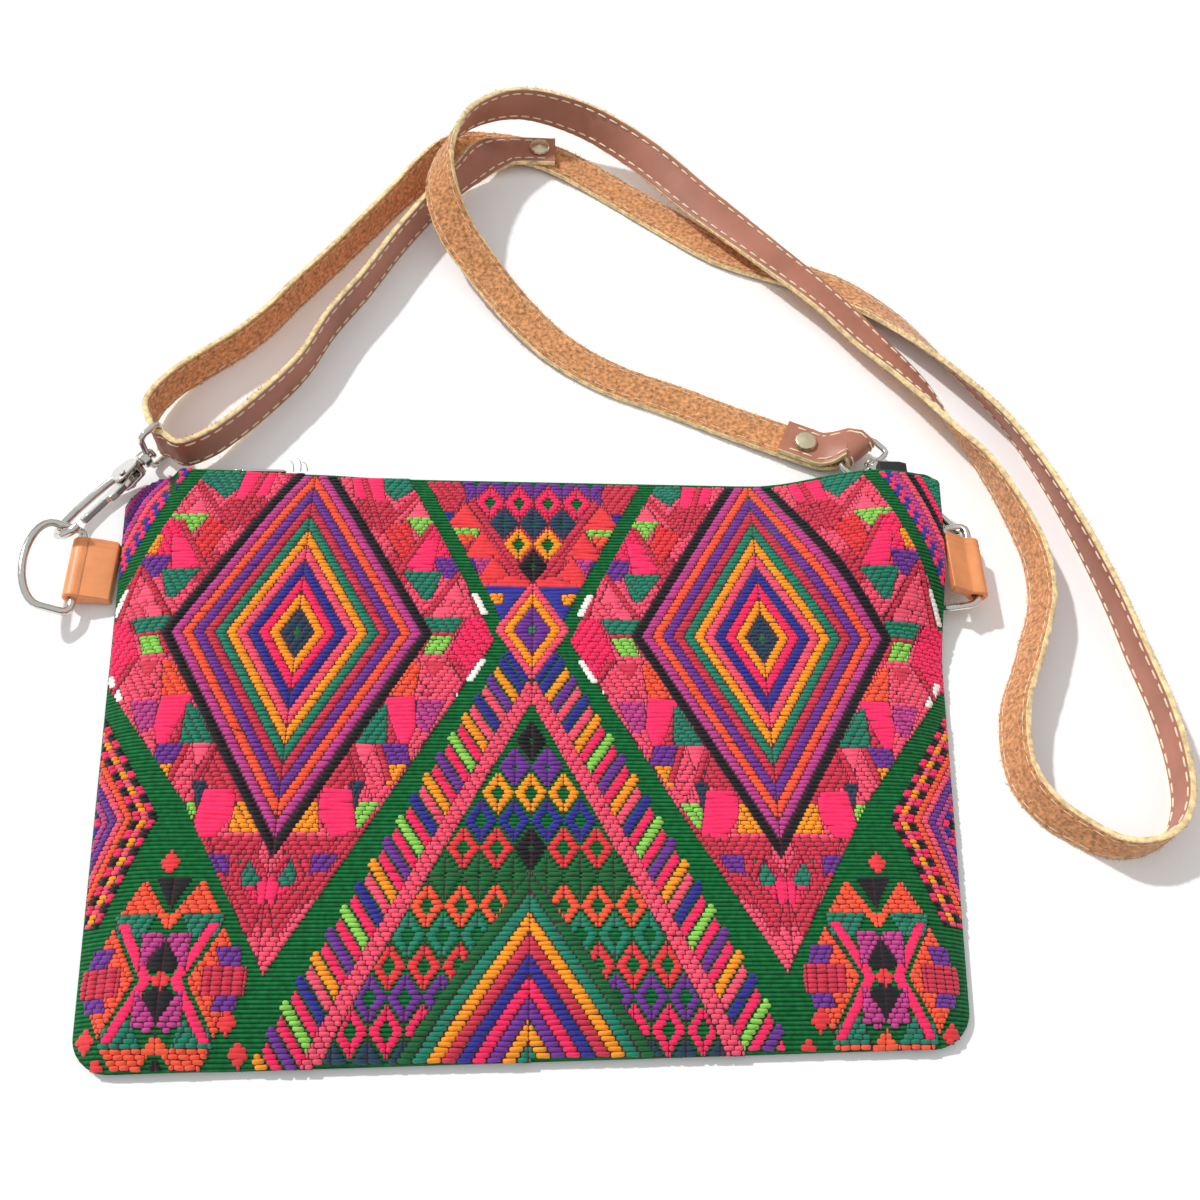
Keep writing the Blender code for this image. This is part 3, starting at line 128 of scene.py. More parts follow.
@dataclass(frozen=True)
class PouchForm:
    """The pouch's outline and the rise of its front over the table."""

    top_width: float = 0.302
    bottom_width: float = 0.270
    top_y: float = 0.103
    bottom_y: float = -0.104
    skew: float = 0.022
    corner_left: float = 0.020
    corner_right: float = 0.007
    corner_bottom: float = 0.011
    base: float = 0.003
    crown: float = 0.0096
    roll: float = 0.026
    mouth: float = 0.72
    belly: float = 0.14
    sag_top: float = 0.0034
    lift: float = 0.0132
    lift_x: Point = (0.080, 0.128)
    lift_y: Point = (0.025, 0.072)

    def lift_at(self, x: np.ndarray, y: np.ndarray) -> np.ndarray:
        """Return how far the pouch is raised over the table."""
        return self.lift * smoothstep(x, *self.lift_x) * smoothstep(y, *self.lift_y)

    def half_width(self, y: np.ndarray) -> np.ndarray:
        """Return half the width at a height along the pouch."""
        share = (y - self.bottom_y) / (self.top_y - self.bottom_y)
        return 0.5 * (self.bottom_width + (self.top_width - self.bottom_width) * share)

    def top_at(self, x: np.ndarray) -> np.ndarray:
        """Return the brocade's upper edge above a point, which sags away from the left corner."""
        return self.top_y - self.sag_top * smoothstep(x, -0.146, -0.030)

    def bottom_at(self, x: np.ndarray) -> np.ndarray:
        """Return the lower edge's place below a point."""
        return self.bottom_y + self.skew * x

    def seam_distance(self, x: np.ndarray, y: np.ndarray) -> np.ndarray:
        """Return the distance to the sewn seam.

        Args:
            x: places across the pouch.
            y: places along it.

        Returns:
            The distance to the sides and the bottom, with their round corners.
        """
        side = (self.half_width(y) - np.abs(x)) * 0.997
        foot = y - self.bottom_at(x)
        radius = self.corner_bottom
        corner = radius - np.hypot(radius - side, radius - foot)
        low = np.where((side < radius) & (foot < radius), corner, np.minimum(side, foot))
        round_top = np.where(x < 0.0, self.corner_left, self.corner_right)
        across = np.abs(x) - self.half_width(self.top_y) + round_top
        along = y - self.top_y + round_top
        high = np.where((across > 0.0) & (along > 0.0), round_top - np.hypot(across, along), side)
        return np.where(y < 0.0, low, np.minimum(high, side))

    def pull_in(self, x: np.ndarray, y: np.ndarray) -> tuple[np.ndarray, np.ndarray]:
        """Draw places that lie past the seam back towards it.

        Args:
            x: places across the pouch.
            y: places along it.

        Returns:
            The new places across and along.
        """
        pull = 0.75 * np.clip(-self.seam_distance(x, y), 0.0, None)
        return x - np.sign(x) * pull, np.where(y < 0.0, y + pull, y - pull)

    @staticmethod
    def ease(distance: np.ndarray, width: float) -> np.ndarray:
        """Return the rolled rise over a width."""
        share = np.clip(distance / width, 0.0, 1.0)
        return 1.0 - (1.0 - share) ** 2.2

    def height(self, x: np.ndarray, y: np.ndarray) -> np.ndarray:
        """Return the height of the front's ground cloth.

        Args:
            x: places across the pouch.
            y: places along it.

        Returns:
            The height over the table.
        """
        rise = self.ease(self.seam_distance(x, y), self.roll)
        rise = rise * (self.mouth + (1.0 - self.mouth) * self.ease(self.top_at(x) - y, self.roll))
        across = 1.0 - (x / self.half_width(y)) ** 2
        along = 1.0 - (y / self.top_y) ** 2
        belly = 1.0 - self.belly + self.belly * across * along
        return self.lift_at(x, y) + self.base + self.crown * rise * belly


FORM = PouchForm()


def mesh_object(name: str, verts: np.ndarray, faces: np.ndarray, smooth: bool = True) -> bpy.types.Object:
    """Make an object from an array of points and an array of four-sided or three-sided faces.

    Args:
        name: the object's name.
        verts: points, one row each.
        faces: indices, one row a face.
        smooth: whether the faces are shaded smooth.

    Returns:
        The new object.
    """
    verts = np.asarray(verts, dtype=np.float32)
    faces = np.asarray(faces, dtype=np.int32)
    sides = faces.shape[1]
    mesh = bpy.data.meshes.new(name)
    mesh.vertices.add(len(verts))
    mesh.vertices.foreach_set("co", verts.ravel())
    mesh.loops.add(faces.size)
    mesh.loops.foreach_set("vertex_index", faces.ravel())
    mesh.polygons.add(len(faces))
    mesh.polygons.foreach_set("loop_start", np.arange(0, faces.size, sides, dtype=np.int32))
    mesh.polygons.foreach_set("loop_total", np.full(len(faces), sides, dtype=np.int32))
    mesh.update(calc_edges=True)
    mesh.validate()
    if smooth:
        mesh.shade_smooth()
    obj = bpy.data.objects.new(name, mesh)
    bpy.context.scene.collection.objects.link(obj)
    return obj


def grid_faces(rows: int, columns: int, start: int = 0, closed: bool = False) -> np.ndarray:
    """Return the faces of a grid of points.

    Args:
        rows: rows of points.
        columns: points in a row.
        start: the first point's index.
        closed: whether each row closes on itself.

    Returns:
        Four indices a face.
    """
    i, j = np.meshgrid(np.arange(rows - 1), np.arange(columns if closed else columns - 1), indexing="ij")
    k = (j + 1) % columns
    quads = np.stack([i * columns + j, i * columns + k, (i + 1) * columns + k, (i + 1) * columns + j], -1)
    return quads.reshape(-1, 4) + start


def shell_object(name: str, top: np.ndarray, low: np.ndarray) -> bpy.types.Object:
    """Make a thin closed cloth from its upper and its lower side.

    Args:
        name: the object's name.
        top: the upper side's points, as rows and columns.
        low: the lower side's points, in the same order.

    Returns:
        The new object.
    """
    rows, columns = top.shape[:2]
    count = rows * columns
    verts = np.concatenate([top.reshape(-1, 3), low.reshape(-1, 3)])
    faces = [grid_faces(rows, columns), grid_faces(rows, columns, count)[:, ::-1]]
    rim = (np.arange(columns), (rows - 1) * columns + np.arange(columns)[::-1],
           np.arange(rows)[::-1] * columns, np.arange(rows) * columns + columns - 1)
    for line in rim:
        a, b = line[:-1], line[1:]
        faces.append(np.stack([b, a, a + count, b + count], -1))
    return mesh_object(name, verts, np.concatenate(faces))


def read_points(mesh: bpy.types.Mesh) -> tuple[np.ndarray, np.ndarray]:
    """Return a mesh's points and the directions out of its surface there.

    Args:
        mesh: the mesh.

    Returns:
        Points and directions, one row each.
    """
    count = len(mesh.vertices)
    spots = np.empty(count * 3, dtype=np.float32)
    normals = np.empty(count * 3, dtype=np.float32)
    mesh.vertices.foreach_get("co", spots)
    mesh.vertex_normals.foreach_get("vector", normals)
    return spots.reshape(-1, 3), normals.reshape(-1, 3)


def write_points(mesh: bpy.types.Mesh, spots: np.ndarray) -> None:
    """Put changed points back into a mesh."""
    mesh.vertices.foreach_set("co", spots.ravel())
    mesh.update()


@dataclass(frozen=True)
class Finish:
    """A plain finish: its colour and how it shines."""

    name: str
    color: str
    roughness: float = 0.6
    metallic: float = 0.0
    sheen: float = 0.0
    specular: float = 0.5
    tone: float = 0.12
    tone_scale: float = 300.0
    bump: float = 0.0
    bump_scale: float = 900.0
    # groove: a colour painted as shade into the lines between the ribs.
    groove: str = ""
    groove_pitch: float = 1.3 * MM

    def build(self) -> bpy.types.Material:
        """Make the Principled material, with tone and grain from the shared groups.

        Returns:
            The material.
        """
        mat = bpy.data.materials.new(self.name)
        mat.use_nodes = True
        nodes, links = mat.node_tree.nodes, mat.node_tree.links
        shader = nodes["Principled BSDF"]
        shader.inputs["Roughness"].default_value = self.roughness
        shader.inputs["Metallic"].default_value = self.metallic
        shader.inputs["Sheen Weight"].default_value = self.sheen
        shader.inputs["Specular IOR Level"].default_value = self.specular
        group = nodes.new("ShaderNodeGroup")
        group.node_tree = tone_group()
        group.inputs["Color"].default_value = (*srgb(self.color), 1.0)
        group.inputs["Amount"].default_value = self.tone
        group.inputs["Scale"].default_value = self.tone_scale
        links.new(group.outputs["Color"], shader.inputs["Base Color"])
        if self.groove:
            self.add_painted_groove_shade(mat, group)
        if self.bump:
            grain = nodes.new("ShaderNodeGroup")
            grain.node_tree = grain_group()
            grain.inputs["Scale"].default_value = self.bump_scale
            height = nodes.new("ShaderNodeBump")
            height.inputs["Strength"].default_value = 0.6
            height.inputs["Distance"].default_value = self.bump
            links.new(grain.outputs["Height"], height.inputs["Height"])
            links.new(height.outputs["Normal"], shader.inputs["Normal"])
        return mat

    def add_painted_groove_shade(self, mat: bpy.types.Material, group: bpy.types.ShaderNodeGroup) -> None:
        """Paint shade into the lines between the cloth's ribs with the groove colour.

        Args:
            mat: the finish's material.
            group: the tone group that takes the colour.
        """
        tree = mat.node_tree
        place = tree.nodes.new("ShaderNodeTexCoord")
        split = tree.nodes.new("ShaderNodeSeparateXYZ")
        tree.links.new(place.outputs["Object"], split.inputs[0])
        turn = math_node(tree, "MULTIPLY", split.outputs["Y"], math.pi / self.groove_pitch)
        rib = math_node(tree, "ABSOLUTE", math_node(tree, "SINE", turn))
        mix = tree.nodes.new("ShaderNodeMix")
        mix.data_type = "RGBA"
        mix.inputs[6].default_value = (*srgb(self.groove), 1.0)
        mix.inputs[7].default_value = (*srgb(self.color), 1.0)
        tree.links.new(rib, mix.inputs[0])
        tree.links.new(mix.outputs[2], group.inputs["Color"])


def math_node(tree: bpy.types.ShaderNodeTree, operation: str,
              *inputs: bpy.types.NodeSocket | float) -> bpy.types.NodeSocket:
    """Add a node that works out a number.

    Args:
        tree: where it is added.
        operation: what it works out.
        inputs: a socket or a number for each of its inputs.

    Returns:
        Its output.
    """
    node = tree.nodes.new("ShaderNodeMath")
    node.operation = operation
    for k, value in enumerate(inputs):
        if isinstance(value, float):
            node.inputs[k].default_value = value
        else:
            tree.links.new(value, node.inputs[k])
    return node.outputs[0]


def new_group(name: str, inputs: tuple[tuple[str, str], ...],
              outputs: tuple[tuple[str, str], ...]) -> bpy.types.ShaderNodeTree:
    """Make an empty shader group.

    Args:
        name: the group's name.
        inputs: pairs of socket name and socket type.
        outputs: the same for what it puts out.

    Returns:
        The group, with its input and output nodes.
    """
    tree = bpy.data.node_groups.new(name, "ShaderNodeTree")
    for label, kind in inputs:
        tree.interface.new_socket(label, in_out="INPUT", socket_type=kind)
    for label, kind in outputs:
        tree.interface.new_socket(label, in_out="OUTPUT", socket_type=kind)
    tree.nodes.new("NodeGroupInput")
    tree.nodes.new("NodeGroupOutput")
    return tree


def tone_group() -> bpy.types.ShaderNodeTree:
    """Return the shared group that varies a colour a little over the surface.

    Returns:
        The group, with a colour as its output.
    """
    found = bpy.data.node_groups.get("tone")
    if found:
        return found
    tree = new_group("tone", (("Color", "NodeSocketColor"), ("Amount", "NodeSocketFloat"),
                              ("Scale", "NodeSocketFloat")), (("Color", "NodeSocketColor"),))
    nodes, links = tree.nodes, tree.links
    source, sink = nodes["Group Input"], nodes["Group Output"]
    place = nodes.new("ShaderNodeTexCoord")
    noise = nodes.new("ShaderNodeTexNoise")
    noise.inputs["Detail"].default_value = 3.0
    links.new(place.outputs["Object"], noise.inputs["Vector"])
    links.new(source.outputs["Scale"], noise.inputs["Scale"])
    centred = math_node(tree, "SUBTRACT", noise.outputs["Fac"], 0.5)
    strength = math_node(tree, "MULTIPLY", source.outputs["Amount"], 4.0)
    swing = math_node(tree, "MULTIPLY_ADD", centred, strength, 1.0)
    scale = nodes.new("ShaderNodeVectorMath")
    scale.operation = "SCALE"
    links.new(source.outputs["Color"], scale.inputs[0])
    links.new(swing, scale.inputs["Scale"])
    links.new(scale.outputs[0], sink.inputs["Color"])
    return tree


def grain_group() -> bpy.types.ShaderNodeTree:
    """Return the shared group that gives a fine grain.

    Returns:
        The group, with a height as its output.
    """
    found = bpy.data.node_groups.get("grain")
    if found:
        return found
    tree = new_group("grain", (("Scale", "NodeSocketFloat"),), (("Height", "NodeSocketFloat"),))
    nodes, links = tree.nodes, tree.links
    place = nodes.new("ShaderNodeTexCoord")
    noise = nodes.new("ShaderNodeTexNoise")
    noise.inputs["Detail"].default_value = 4.0
    links.new(place.outputs["Object"], noise.inputs["Vector"])
    links.new(nodes["Group Input"].outputs["Scale"], noise.inputs["Scale"])
    links.new(noise.outputs["Fac"], nodes["Group Output"].inputs["Height"])
    return tree


@dataclass(frozen=True)
class Patch:
    """One filled shape of the brocade, on the left half, with corners in millimetres."""

    yarn: Yarn
    lay: Lay
    corners: tuple[Point, ...]


# Short names for the tables of filled shapes.
S, L, R, U = Lay.SATIN, Lay.LEFT, Lay.RIGHT, Lay.UPRIGHT
Y = Yarn

# Figures beside the left diamond, from the zip down. They are mirrored about the diamond's middle.
FIGURES: tuple[Patch, ...] = (
    Patch(Y.CORAL, R, ((-122, 99), (-95, 99), (-104, 70), (-129, 73))),
    Patch(Y.TEAL, L, ((-121, 100), (-104, 100), (-104, 90), (-109.5, 83.5), (-119.5, 92.5))),
    Patch(Y.PINK, S, ((-103.5, 100), (-92, 100), (-95, 85), (-106, 84))),
    Patch(Y.CRIMSON, L, ((-106.5, 84), (-96, 84.5), (-101, 76), (-106.5, 71), (-112, 76))),
    Patch(Y.CORAL, L, ((-118.5, 90.5), (-129, 73.5), (-105.5, 71.5))),
    Patch(Y.CORAL, S, ((-118, 84), (-123, 76), (-114, 76))),
    Patch(Y.LIME, L, ((-128.5, 76.3), (-113.5, 76.3), (-119, 68.2), (-121.5, 71.5))),
    Patch(Y.RED, R, ((-114.5, 75.3), (-106, 71.5), (-113.5, 57), (-118.5, 62.5))),
    Patch(Y.PINK, L, ((-129.5, 73.2), (-122, 73.2), (-112.5, 55.5), (-125, 53.2), (-131, 62))),
    Patch(Y.PINK, S, ((-126, 67), (-121, 67), (-114, 55), (-124, 53.5))),
    Patch(Y.ORANGE, R, ((-134.5, 67.5), (-128.5, 67.5), (-130.5, 60.4), (-138, 60.4))),
    Patch(Y.PURPLE, R, ((-139, 59.8), (-124.5, 59.8), (-126.2, 52.5), (-130.5, 50.5), (-140.5, 53.5))),
    Patch(Y.CORAL, L, ((-134.5, 56.5), (-139.5, 36), (-121.5, 35.2))),
    Patch(Y.CORAL, S, ((-132, 51), (-136, 42), (-126, 42))),
    Patch(Y.CORAL, S, ((-133, 40), (-123, 40), (-125, 35.6), (-129, 35.6))),
    Patch(Y.TEAL, L, ((-127.5, 53.3), (-114, 53.3), (-121.8, 41.8), (-124.5, 43))),
    Patch(Y.WHITE, S, ((-140.8, 48.2), (-138.3, 48.2), (-142.6, 36.2), (-145.2, 36.2))),
    Patch(Y.TEAL, R, ((-135.5, 35), (-121.5, 35), (-124, 29), (-132.5, 29))),
    Patch(Y.LIME, L, ((-132.5, 28.6), (-125, 28.6), (-121.8, 20.5), (-129, 20.5))),
    Patch(Y.PINK, R, ((-146, 35.8), (-137, 35.8), (-133, 27), (-130.5, 19.5), (-139, 6), (-146, 18))),
    Patch(Y.CORAL, L, ((-131, 20), (-121.5, 20), (-121.5, 12), (-128, 4), (-138, 8))),
    Patch(Y.CRIMSON, S, ((-131, 18.5), (-123, 18.5), (-126, 12))),
    Patch(Y.WHITE, S, ((-142.8, 16), (-139.8, 16), (-133.8, 5.8), (-136.4, 5.8))),
    Patch(Y.ORANGE_RED, L, ((-122, 17.6), (-118.4, 17.6), (-110.5, 6), (-120.5, 6))),
    Patch(Y.CORAL, L, ((-136, 5.6), (-120.5, 5.6), (-117, -7), (-120, -15), (-126, -9))),
    Patch(Y.MAGENTA, R, ((-131, 4), (-121.5, 4), (-121, -5), (-125.5, -8))),
    Patch(Y.PINK, S, ((-120.5, 5.4), (-110, 5.4), (-115.5, -9.5), (-118.8, -14), (-121.5, -5))),
    Patch(Y.TEAL, L, ((-111.8, 3), (-107.5, 0.5), (-100.5, -11.4), (-112.5, -11.4))),
    Patch(Y.PURPLE, R, ((-118.6, -11.6), (-108.8, -11.6), (-111, -18.6), (-121, -18.6))),
    Patch(Y.ORANGE, L, ((-119.5, -19.2), (-111.8, -19.2), (-110, -25.8), (-115, -25.8))),
    Patch(Y.CORAL, R, ((-108.8, -11.8), (-100, -11.8), (-104.5, -24), (-109, -31), (-113, -25))),
    Patch(Y.CORAL, S, ((-108.2, -12), (-101.5, -12), (-106, -20))),
    Patch(Y.NAVY, L, ((-106.3, -24.6), (-102.6, -24.6), (-98, -32.5), (-104, -33))),
    Patch(Y.CRIMSON, L, ((-99.8, -13), (-96, -17), (-90, -27), (-97, -28.6), (-103.5, -24))),
    Patch(Y.LIME, L, ((-112, -31), (-105.2, -31), (-101, -40.3), (-106, -40.3))),
    Patch(Y.PINK, S, ((-102.4, -26.4), (-92.5, -28), (-92.5, -36), (-98, -44), (-105, -40.8))),
    Patch(Y.ORANGE, L, ((-92.2, -31), (-88, -31.5), (-81.5, -42), (-93.5, -42))),
    Patch(Y.CRIMSON, R, ((-99, -43), (-82, -43), (-86.5, -58), (-94, -54))),
    Patch(Y.PURPLE, L, ((-100, -48.6), (-92, -48.6), (-91.8, -55), (-97, -54))),
    Patch(Y.CRIMSON, L, ((-92, -58.5), (-79.8, -60), (-83, -74.5), (-85.5, -72))),
    Patch(Y.PINK, R, ((-84.5, -47), (-79, -56), (-79, -62), (-84, -62), (-88.5, -56))),
    Patch(Y.TEAL, R, ((-89, -50.5), (-85.5, -50.5), (-80.6, -58.6), (-87, -58.6))),
    Patch(Y.PINK, S, ((-83, -56.5), (-79, -56.5), (-79, -63), (-82, -64))),
)

# The lower corner's figure: one quarter, from its middle at (-107.5, -86.5).
CORNER_FIGURE: tuple[Patch, ...] = (
    Patch(Y.ORANGE_RED, L, ((-16.5, 16), (-25, 0), (-7.5, 0))),
    Patch(Y.ORANGE_RED, L, ((-8.7, 30.5), (-15.8, 19), (-0.6, 19))),
    Patch(Y.BLACK, S, ((-5.6, 31), (0, 31), (0, 20.5))),
    Patch(Y.ORANGE_RED, S, ((-4, 19.5), (0, 19.5), (0, 14.5))),
    Patch(Y.TEAL, R, ((-16.5, 19), (-4, 19), (-7, 12), (-15, 13))),
    Patch(Y.PINK, S, ((-15.5, 17), (-12.2, 17), (-2.6, 0), (-6, 0))),
    Patch(Y.PURPLE, R, ((-22, 9), (-15, 9), (-16.5, 4.5), (-23, 4.5))),
    Patch(Y.CRIMSON, U, ((-24.5, 4), (-12, 4), (-12, 0), (-25, 0))),
    Patch(Y.MAGENTA, R, ((-7.4, 13.5), (-1.5, 14), (0, 12), (0, 7), (-6.8, 3))),
    Patch(Y.BLACK, S, ((0, 12), (-4.6, 5), (-3.5, 3), (0, 1.5))),
    Patch(Y.RED, S, ((0, 3), (-3.2, 0), (0, 0))),
)

# Figures between the ribbed band and the small diamonds, left of the middle.
MIDDLE_FIGURES: tuple[Patch, ...] = (
    Patch(Y.CRIMSON, L, ((-41, 100), (-20, 100), (-27, 80), (-34, 80))),
    Patch(Y.PURPLE, R, ((-26.5, 100), (-20, 100), (-20, 88), (-24, 83.5))),
    Patch(Y.BLUE, R, ((-33, 80), (-28, 80), (-29, 74.5), (-33, 74.5))),
    Patch(Y.RED, S, ((-24.5, 83.5), (-31, 72.8), (-17.5, 72.8))),
    Patch(Y.LIME, L, ((-30, 72.4), (-18.5, 72.4), (-20, 68.6), (-27.5, 68.6))),
    Patch(Y.ORANGE_RED, L, ((-28, 69.6), (-20.5, 69.6), (-22, 65.2), (-26.5, 65.2))),
    Patch(Y.RED, S, ((-18, 71.5), (-24.5, 60), (-11, 60))),
    Patch(Y.BLUE, R, ((-26, 60), (-16, 60), (-16, 52), (-23, 52))),
    Patch(Y.MAGENTA, L, ((-21, 59), (-15, 59), (-15, 53), (-19, 53))),
    Patch(Y.RED, S, ((-14, 60.5), (-20.5, 48.4), (-5, 48.4))),
    Patch(Y.RED, S, ((-8, 53), (-16, 48.4), (0, 48.4), (0, 50))),
    Patch(Y.BLUE, S, ((-20.5, 47.8), (0, 47.8), (0, 44), (-5, 44), (-13, 29), (-15.5, 33))),
    Patch(Y.ORANGE, L, ((-15, 45.5), (-10, 45.5), (-10, 41.5), (-15, 41.5))),
    Patch(Y.BLUE, L, ((-15.5, 33), (-12.6, 28.5), (-9.5, 24), (-13.5, 24))),
)


@dataclass
class Brocade:
    """The supplementary wefts that make the pattern, row by row, on the pouch's front."""

    form: PouchForm = FORM
    row_pitch_mm: float = 1.42
    step_mm: float = 0.25
    cord_mm: float = 3.1
    shift_mm: float = 5.0
    diamond_mm: Point = (-79.0, 29.2)
    diamond_half_mm: Point = (45.2, 79.0)
    diamond_core: float = 0.125
    small_pitch_mm: Point = (10.4, 9.1)
    small_half_mm: Point = (5.25, 7.5)
    medallion_half_mm: Point = (12.8, 19.8)
    medallion_mm: float = 31.0
    corner_mm: Point = (-107.5, -86.5)
    crossing_mm: float = 28.0
    rib_band_mm: float = 2.8
    stripe_start_mm: float = 7.2
    stripe_pitch_mm: float = 3.1
    stripe_mm: float = 3.0
    dash_start_mm: float = 3.0
    dash_pitch_mm: float = 2.1
    dash_mm: float = 2.0
    band_gap: float = 0.004
    spine_half_mm: float = 2.9
    feather_pitch_mm: float = 3.55
    feather_share: float = 0.84
    feather_reach_mm: Point = (17.5, 15.8)
    feather_top_mm: float = 34.0
    feather_start_mm: float = 21.5
    feather_lean: float = 0.834
    feather_slope: float = 1.88
    chevron_slope: float = 1.43
    chevron_pitch_mm: float = 6.3
    angle_pitch_mm: float = 2.7
    middle_mm: float = 1.2
    squeeze: float = 0.985
    bed_mm: float = 0.3
    yarn_mm: float = 0.24
    heights_mm: Point = (0.46, 0.84)
    trims_mm: Point = (0.02, 0.05)
    ends_mm: Point = (0.4, 0.55)
    widths: Point = (1.16, 1.0)
    shortest: int = 3
    seed: int = 5
    inner_line: tuple[Point, ...] = (
        (-44.5, 99.0), (-40.2, 90.0), (-18.2, 45.0), (-11.0, 29.0), (-9.0, 26.0),
    )
    cross_line: tuple[Point, ...] = (
        (-9.0, 28.5), (-10.8, 25.0), (-27.8, -5.0), (-52.5, -47.5), (-72.0, -80.0), (-91.0, -112.0),
    )
    upper_line: tuple[Point, ...] = ((-119.5, 99.0), (-124.0, 89.0), (-144.5, 45.0), (-149.0, 35.0))
    lower_line: tuple[Point, ...] = (
        (-146.0, 14.0), (-141.0, 8.0), (-111.5, -31.0), (-84.0, -80.0), (-66.0, -112.0),
    )
    angle_line: tuple[Point, ...] = ((-141.0, 2.5), (-115.5, -36.0), (-129.5, -70.0))
    keys: np.ndarray = field(init=False)
    yarns: np.ndarray = field(init=False)
    lays: np.ndarray = field(init=False)

    def __post_init__(self) -> None:
        """Lay out the rows and the places along them."""
        top = self.form.top_y / MM
        low = self.form.bottom_y / MM - 4.0
        half = 0.5 * self.form.top_width / MM
        self.rows = np.arange(top - 0.9, low, -self.row_pitch_mm)
        self.columns = np.arange(-half, half + self.step_mm, self.step_mm)
        self.u, self.y = np.meshgrid((self.columns + self.middle_mm) * self.squeeze, self.rows)
        self.v = self.y - self.shift_mm
        shape = self.u.shape
        self.keys = np.full(shape, -1, dtype=np.int64)
        self.yarns = np.full(shape, -1, dtype=np.int32)
        self.lays = np.zeros(shape, dtype=np.int32)
        self.palette = list(Yarn)
        self.count = 0

    def paint(self, mask: np.ndarray, yarn: Yarn, lay: Lay = Lay.SATIN, u: np.ndarray | None = None,
              bead: bool = False) -> None:
        """Lay one yarn over the places of a mask.

        Args:
            mask: where it goes.
            yarn: which yarn.
            lay: how it is woven.
            u: the place along the row that its cords are counted from.
            bead: whether smooth floats stand as high as a cord's beads.
        """
        self.count += 1
        part = np.zeros(mask.shape, dtype=np.int64)
        if lay is not Lay.SATIN:
            along = self.u if u is None else u
            lean = {Lay.LEFT: 0.62, Lay.RIGHT: -0.62, Lay.UPRIGHT: 0.0}[lay]
            part = np.floor((along + lean * self.v) / self.cord_mm).astype(np.int64) + 500
        self.keys[mask] = self.count * 2000 + part[mask]
        self.yarns[mask] = self.palette.index(yarn)
        self.lays[mask] = 0 if lay is Lay.SATIN and not bead else 1

    def paint_halves(self, mask: np.ndarray, yarn: Yarn, middle: float = 0.0) -> None:
        """Lay beads over a mask, with the left and the right half apart.

        Args:
            mask: where they go.
            yarn: which yarn.
            middle: the place across that parts the halves.
        """
        self.paint(mask & (self.u < middle), yarn, bead=True)
        self.paint(mask & (self.u >= middle), yarn, bead=True)

    @staticmethod
    def turned(lay: Lay) -> Lay:
        """Return the way of weaving that leans to the other side."""
        return {Lay.LEFT: Lay.RIGHT, Lay.RIGHT: Lay.LEFT}.get(lay, lay)

    @staticmethod
    def inside(u: np.ndarray, v: np.ndarray, corners: tuple[Point, ...]) -> np.ndarray:
        """Tell which places lie inside a closed shape.

        Args:
            u: places across.
            v: places along.
            corners: the shape's corners.

        Returns:
            True where a place is inside.
        """
        found = np.zeros(u.shape, dtype=bool)
        for (x0, y0), (x1, y1) in zip(corners, corners[1:] + corners[:1]):
            if y0 == y1:
                continue
            crosses = (y0 > v) != (y1 > v)
            found ^= crosses & (u < (x1 - x0) * (v - y0) / (y1 - y0) + x0)
        return found

    def mirrored(self) -> tuple[tuple[np.ndarray, float], ...]:
        """Return the place across for each half, mirrored onto the left, with its side."""
        return ((self.u, -1.0), (-self.u, 1.0))

    def outline(self, mask_u: np.ndarray, patch: Patch, where: np.ndarray, yarn: Yarn) -> None:
        """Lay single cords along the two long sides of a filled shape.

        Args:
            mask_u: places across, mirrored as the shape is.
            patch: the shape.
            where: where a cord may lie.
            yarn: the cords' yarn.
        """
        sides = zip(patch.corners, patch.corners[1:] + patch.corners[:1])
        ranked = sorted(sides, key=lambda pair: -math.dist(*pair))
        for (x0, y0), (x1, y1) in ranked[:2]:
            if abs(y1 - y0) < 6.0:
                continue
            place = x0 + (x1 - x0) * (self.v - y0) / (y1 - y0)
            level = (self.v > min(y0, y1)) & (self.v < max(y0, y1))
            self.paint(level & (np.abs(mask_u - place + 1.1) < 1.1) & where, yarn, bead=True)

    def past_middle_band(self, u: np.ndarray) -> np.ndarray:
        """Return the distance from the ribbed band beside the middle.

        Args:
            u: places across, mirrored onto the left.

        Returns:
            The distance, positive towards the middle.
        """
        above = self.along_line(u, self.inner_line)
        return np.where(self.v > self.crossing_mm, above, self.along_line(u, self.cross_line))

    def paint_figures(self) -> None:
        """Fill the figures beside the diamonds, mirrored about each diamond and the middle."""
        centre = self.diamond_mm[0]
        for u, side in self.mirrored():
            near = self.past_middle_band(u) < 0.0
            for flipped in (False, True):
                across = 2.0 * centre - u - 1.0 if flipped else u
                zone = near & (across < centre)
                base = zone & (self.v > -90.0) & (self.along_line(u, self.lower_line) > 3.0)
                base &= self.along_line(u, self.upper_line) > self.rib_band_mm
                turn = flipped != (side > 0)
                lean = Lay.RIGHT if turn else Lay.LEFT
                self.paint(base, Y.CORAL, lean)
                self.paint(base & (np.floor((self.v + 0.7 * across) / 16.0) % 2 == 0), Y.CRIMSON, lean)
                for patch in FIGURES:
                    lay = self.turned(patch.lay) if turn else patch.lay
                    self.paint(self.inside(across, self.v, patch.corners) & zone, patch.yarn, lay)
                for patch in FIGURES:
                    if patch.yarn in (Y.CORAL, Y.PINK) and patch.lay in (Lay.LEFT, Lay.RIGHT):
                        self.outline(across, patch, zone, Y.CRIMSON)

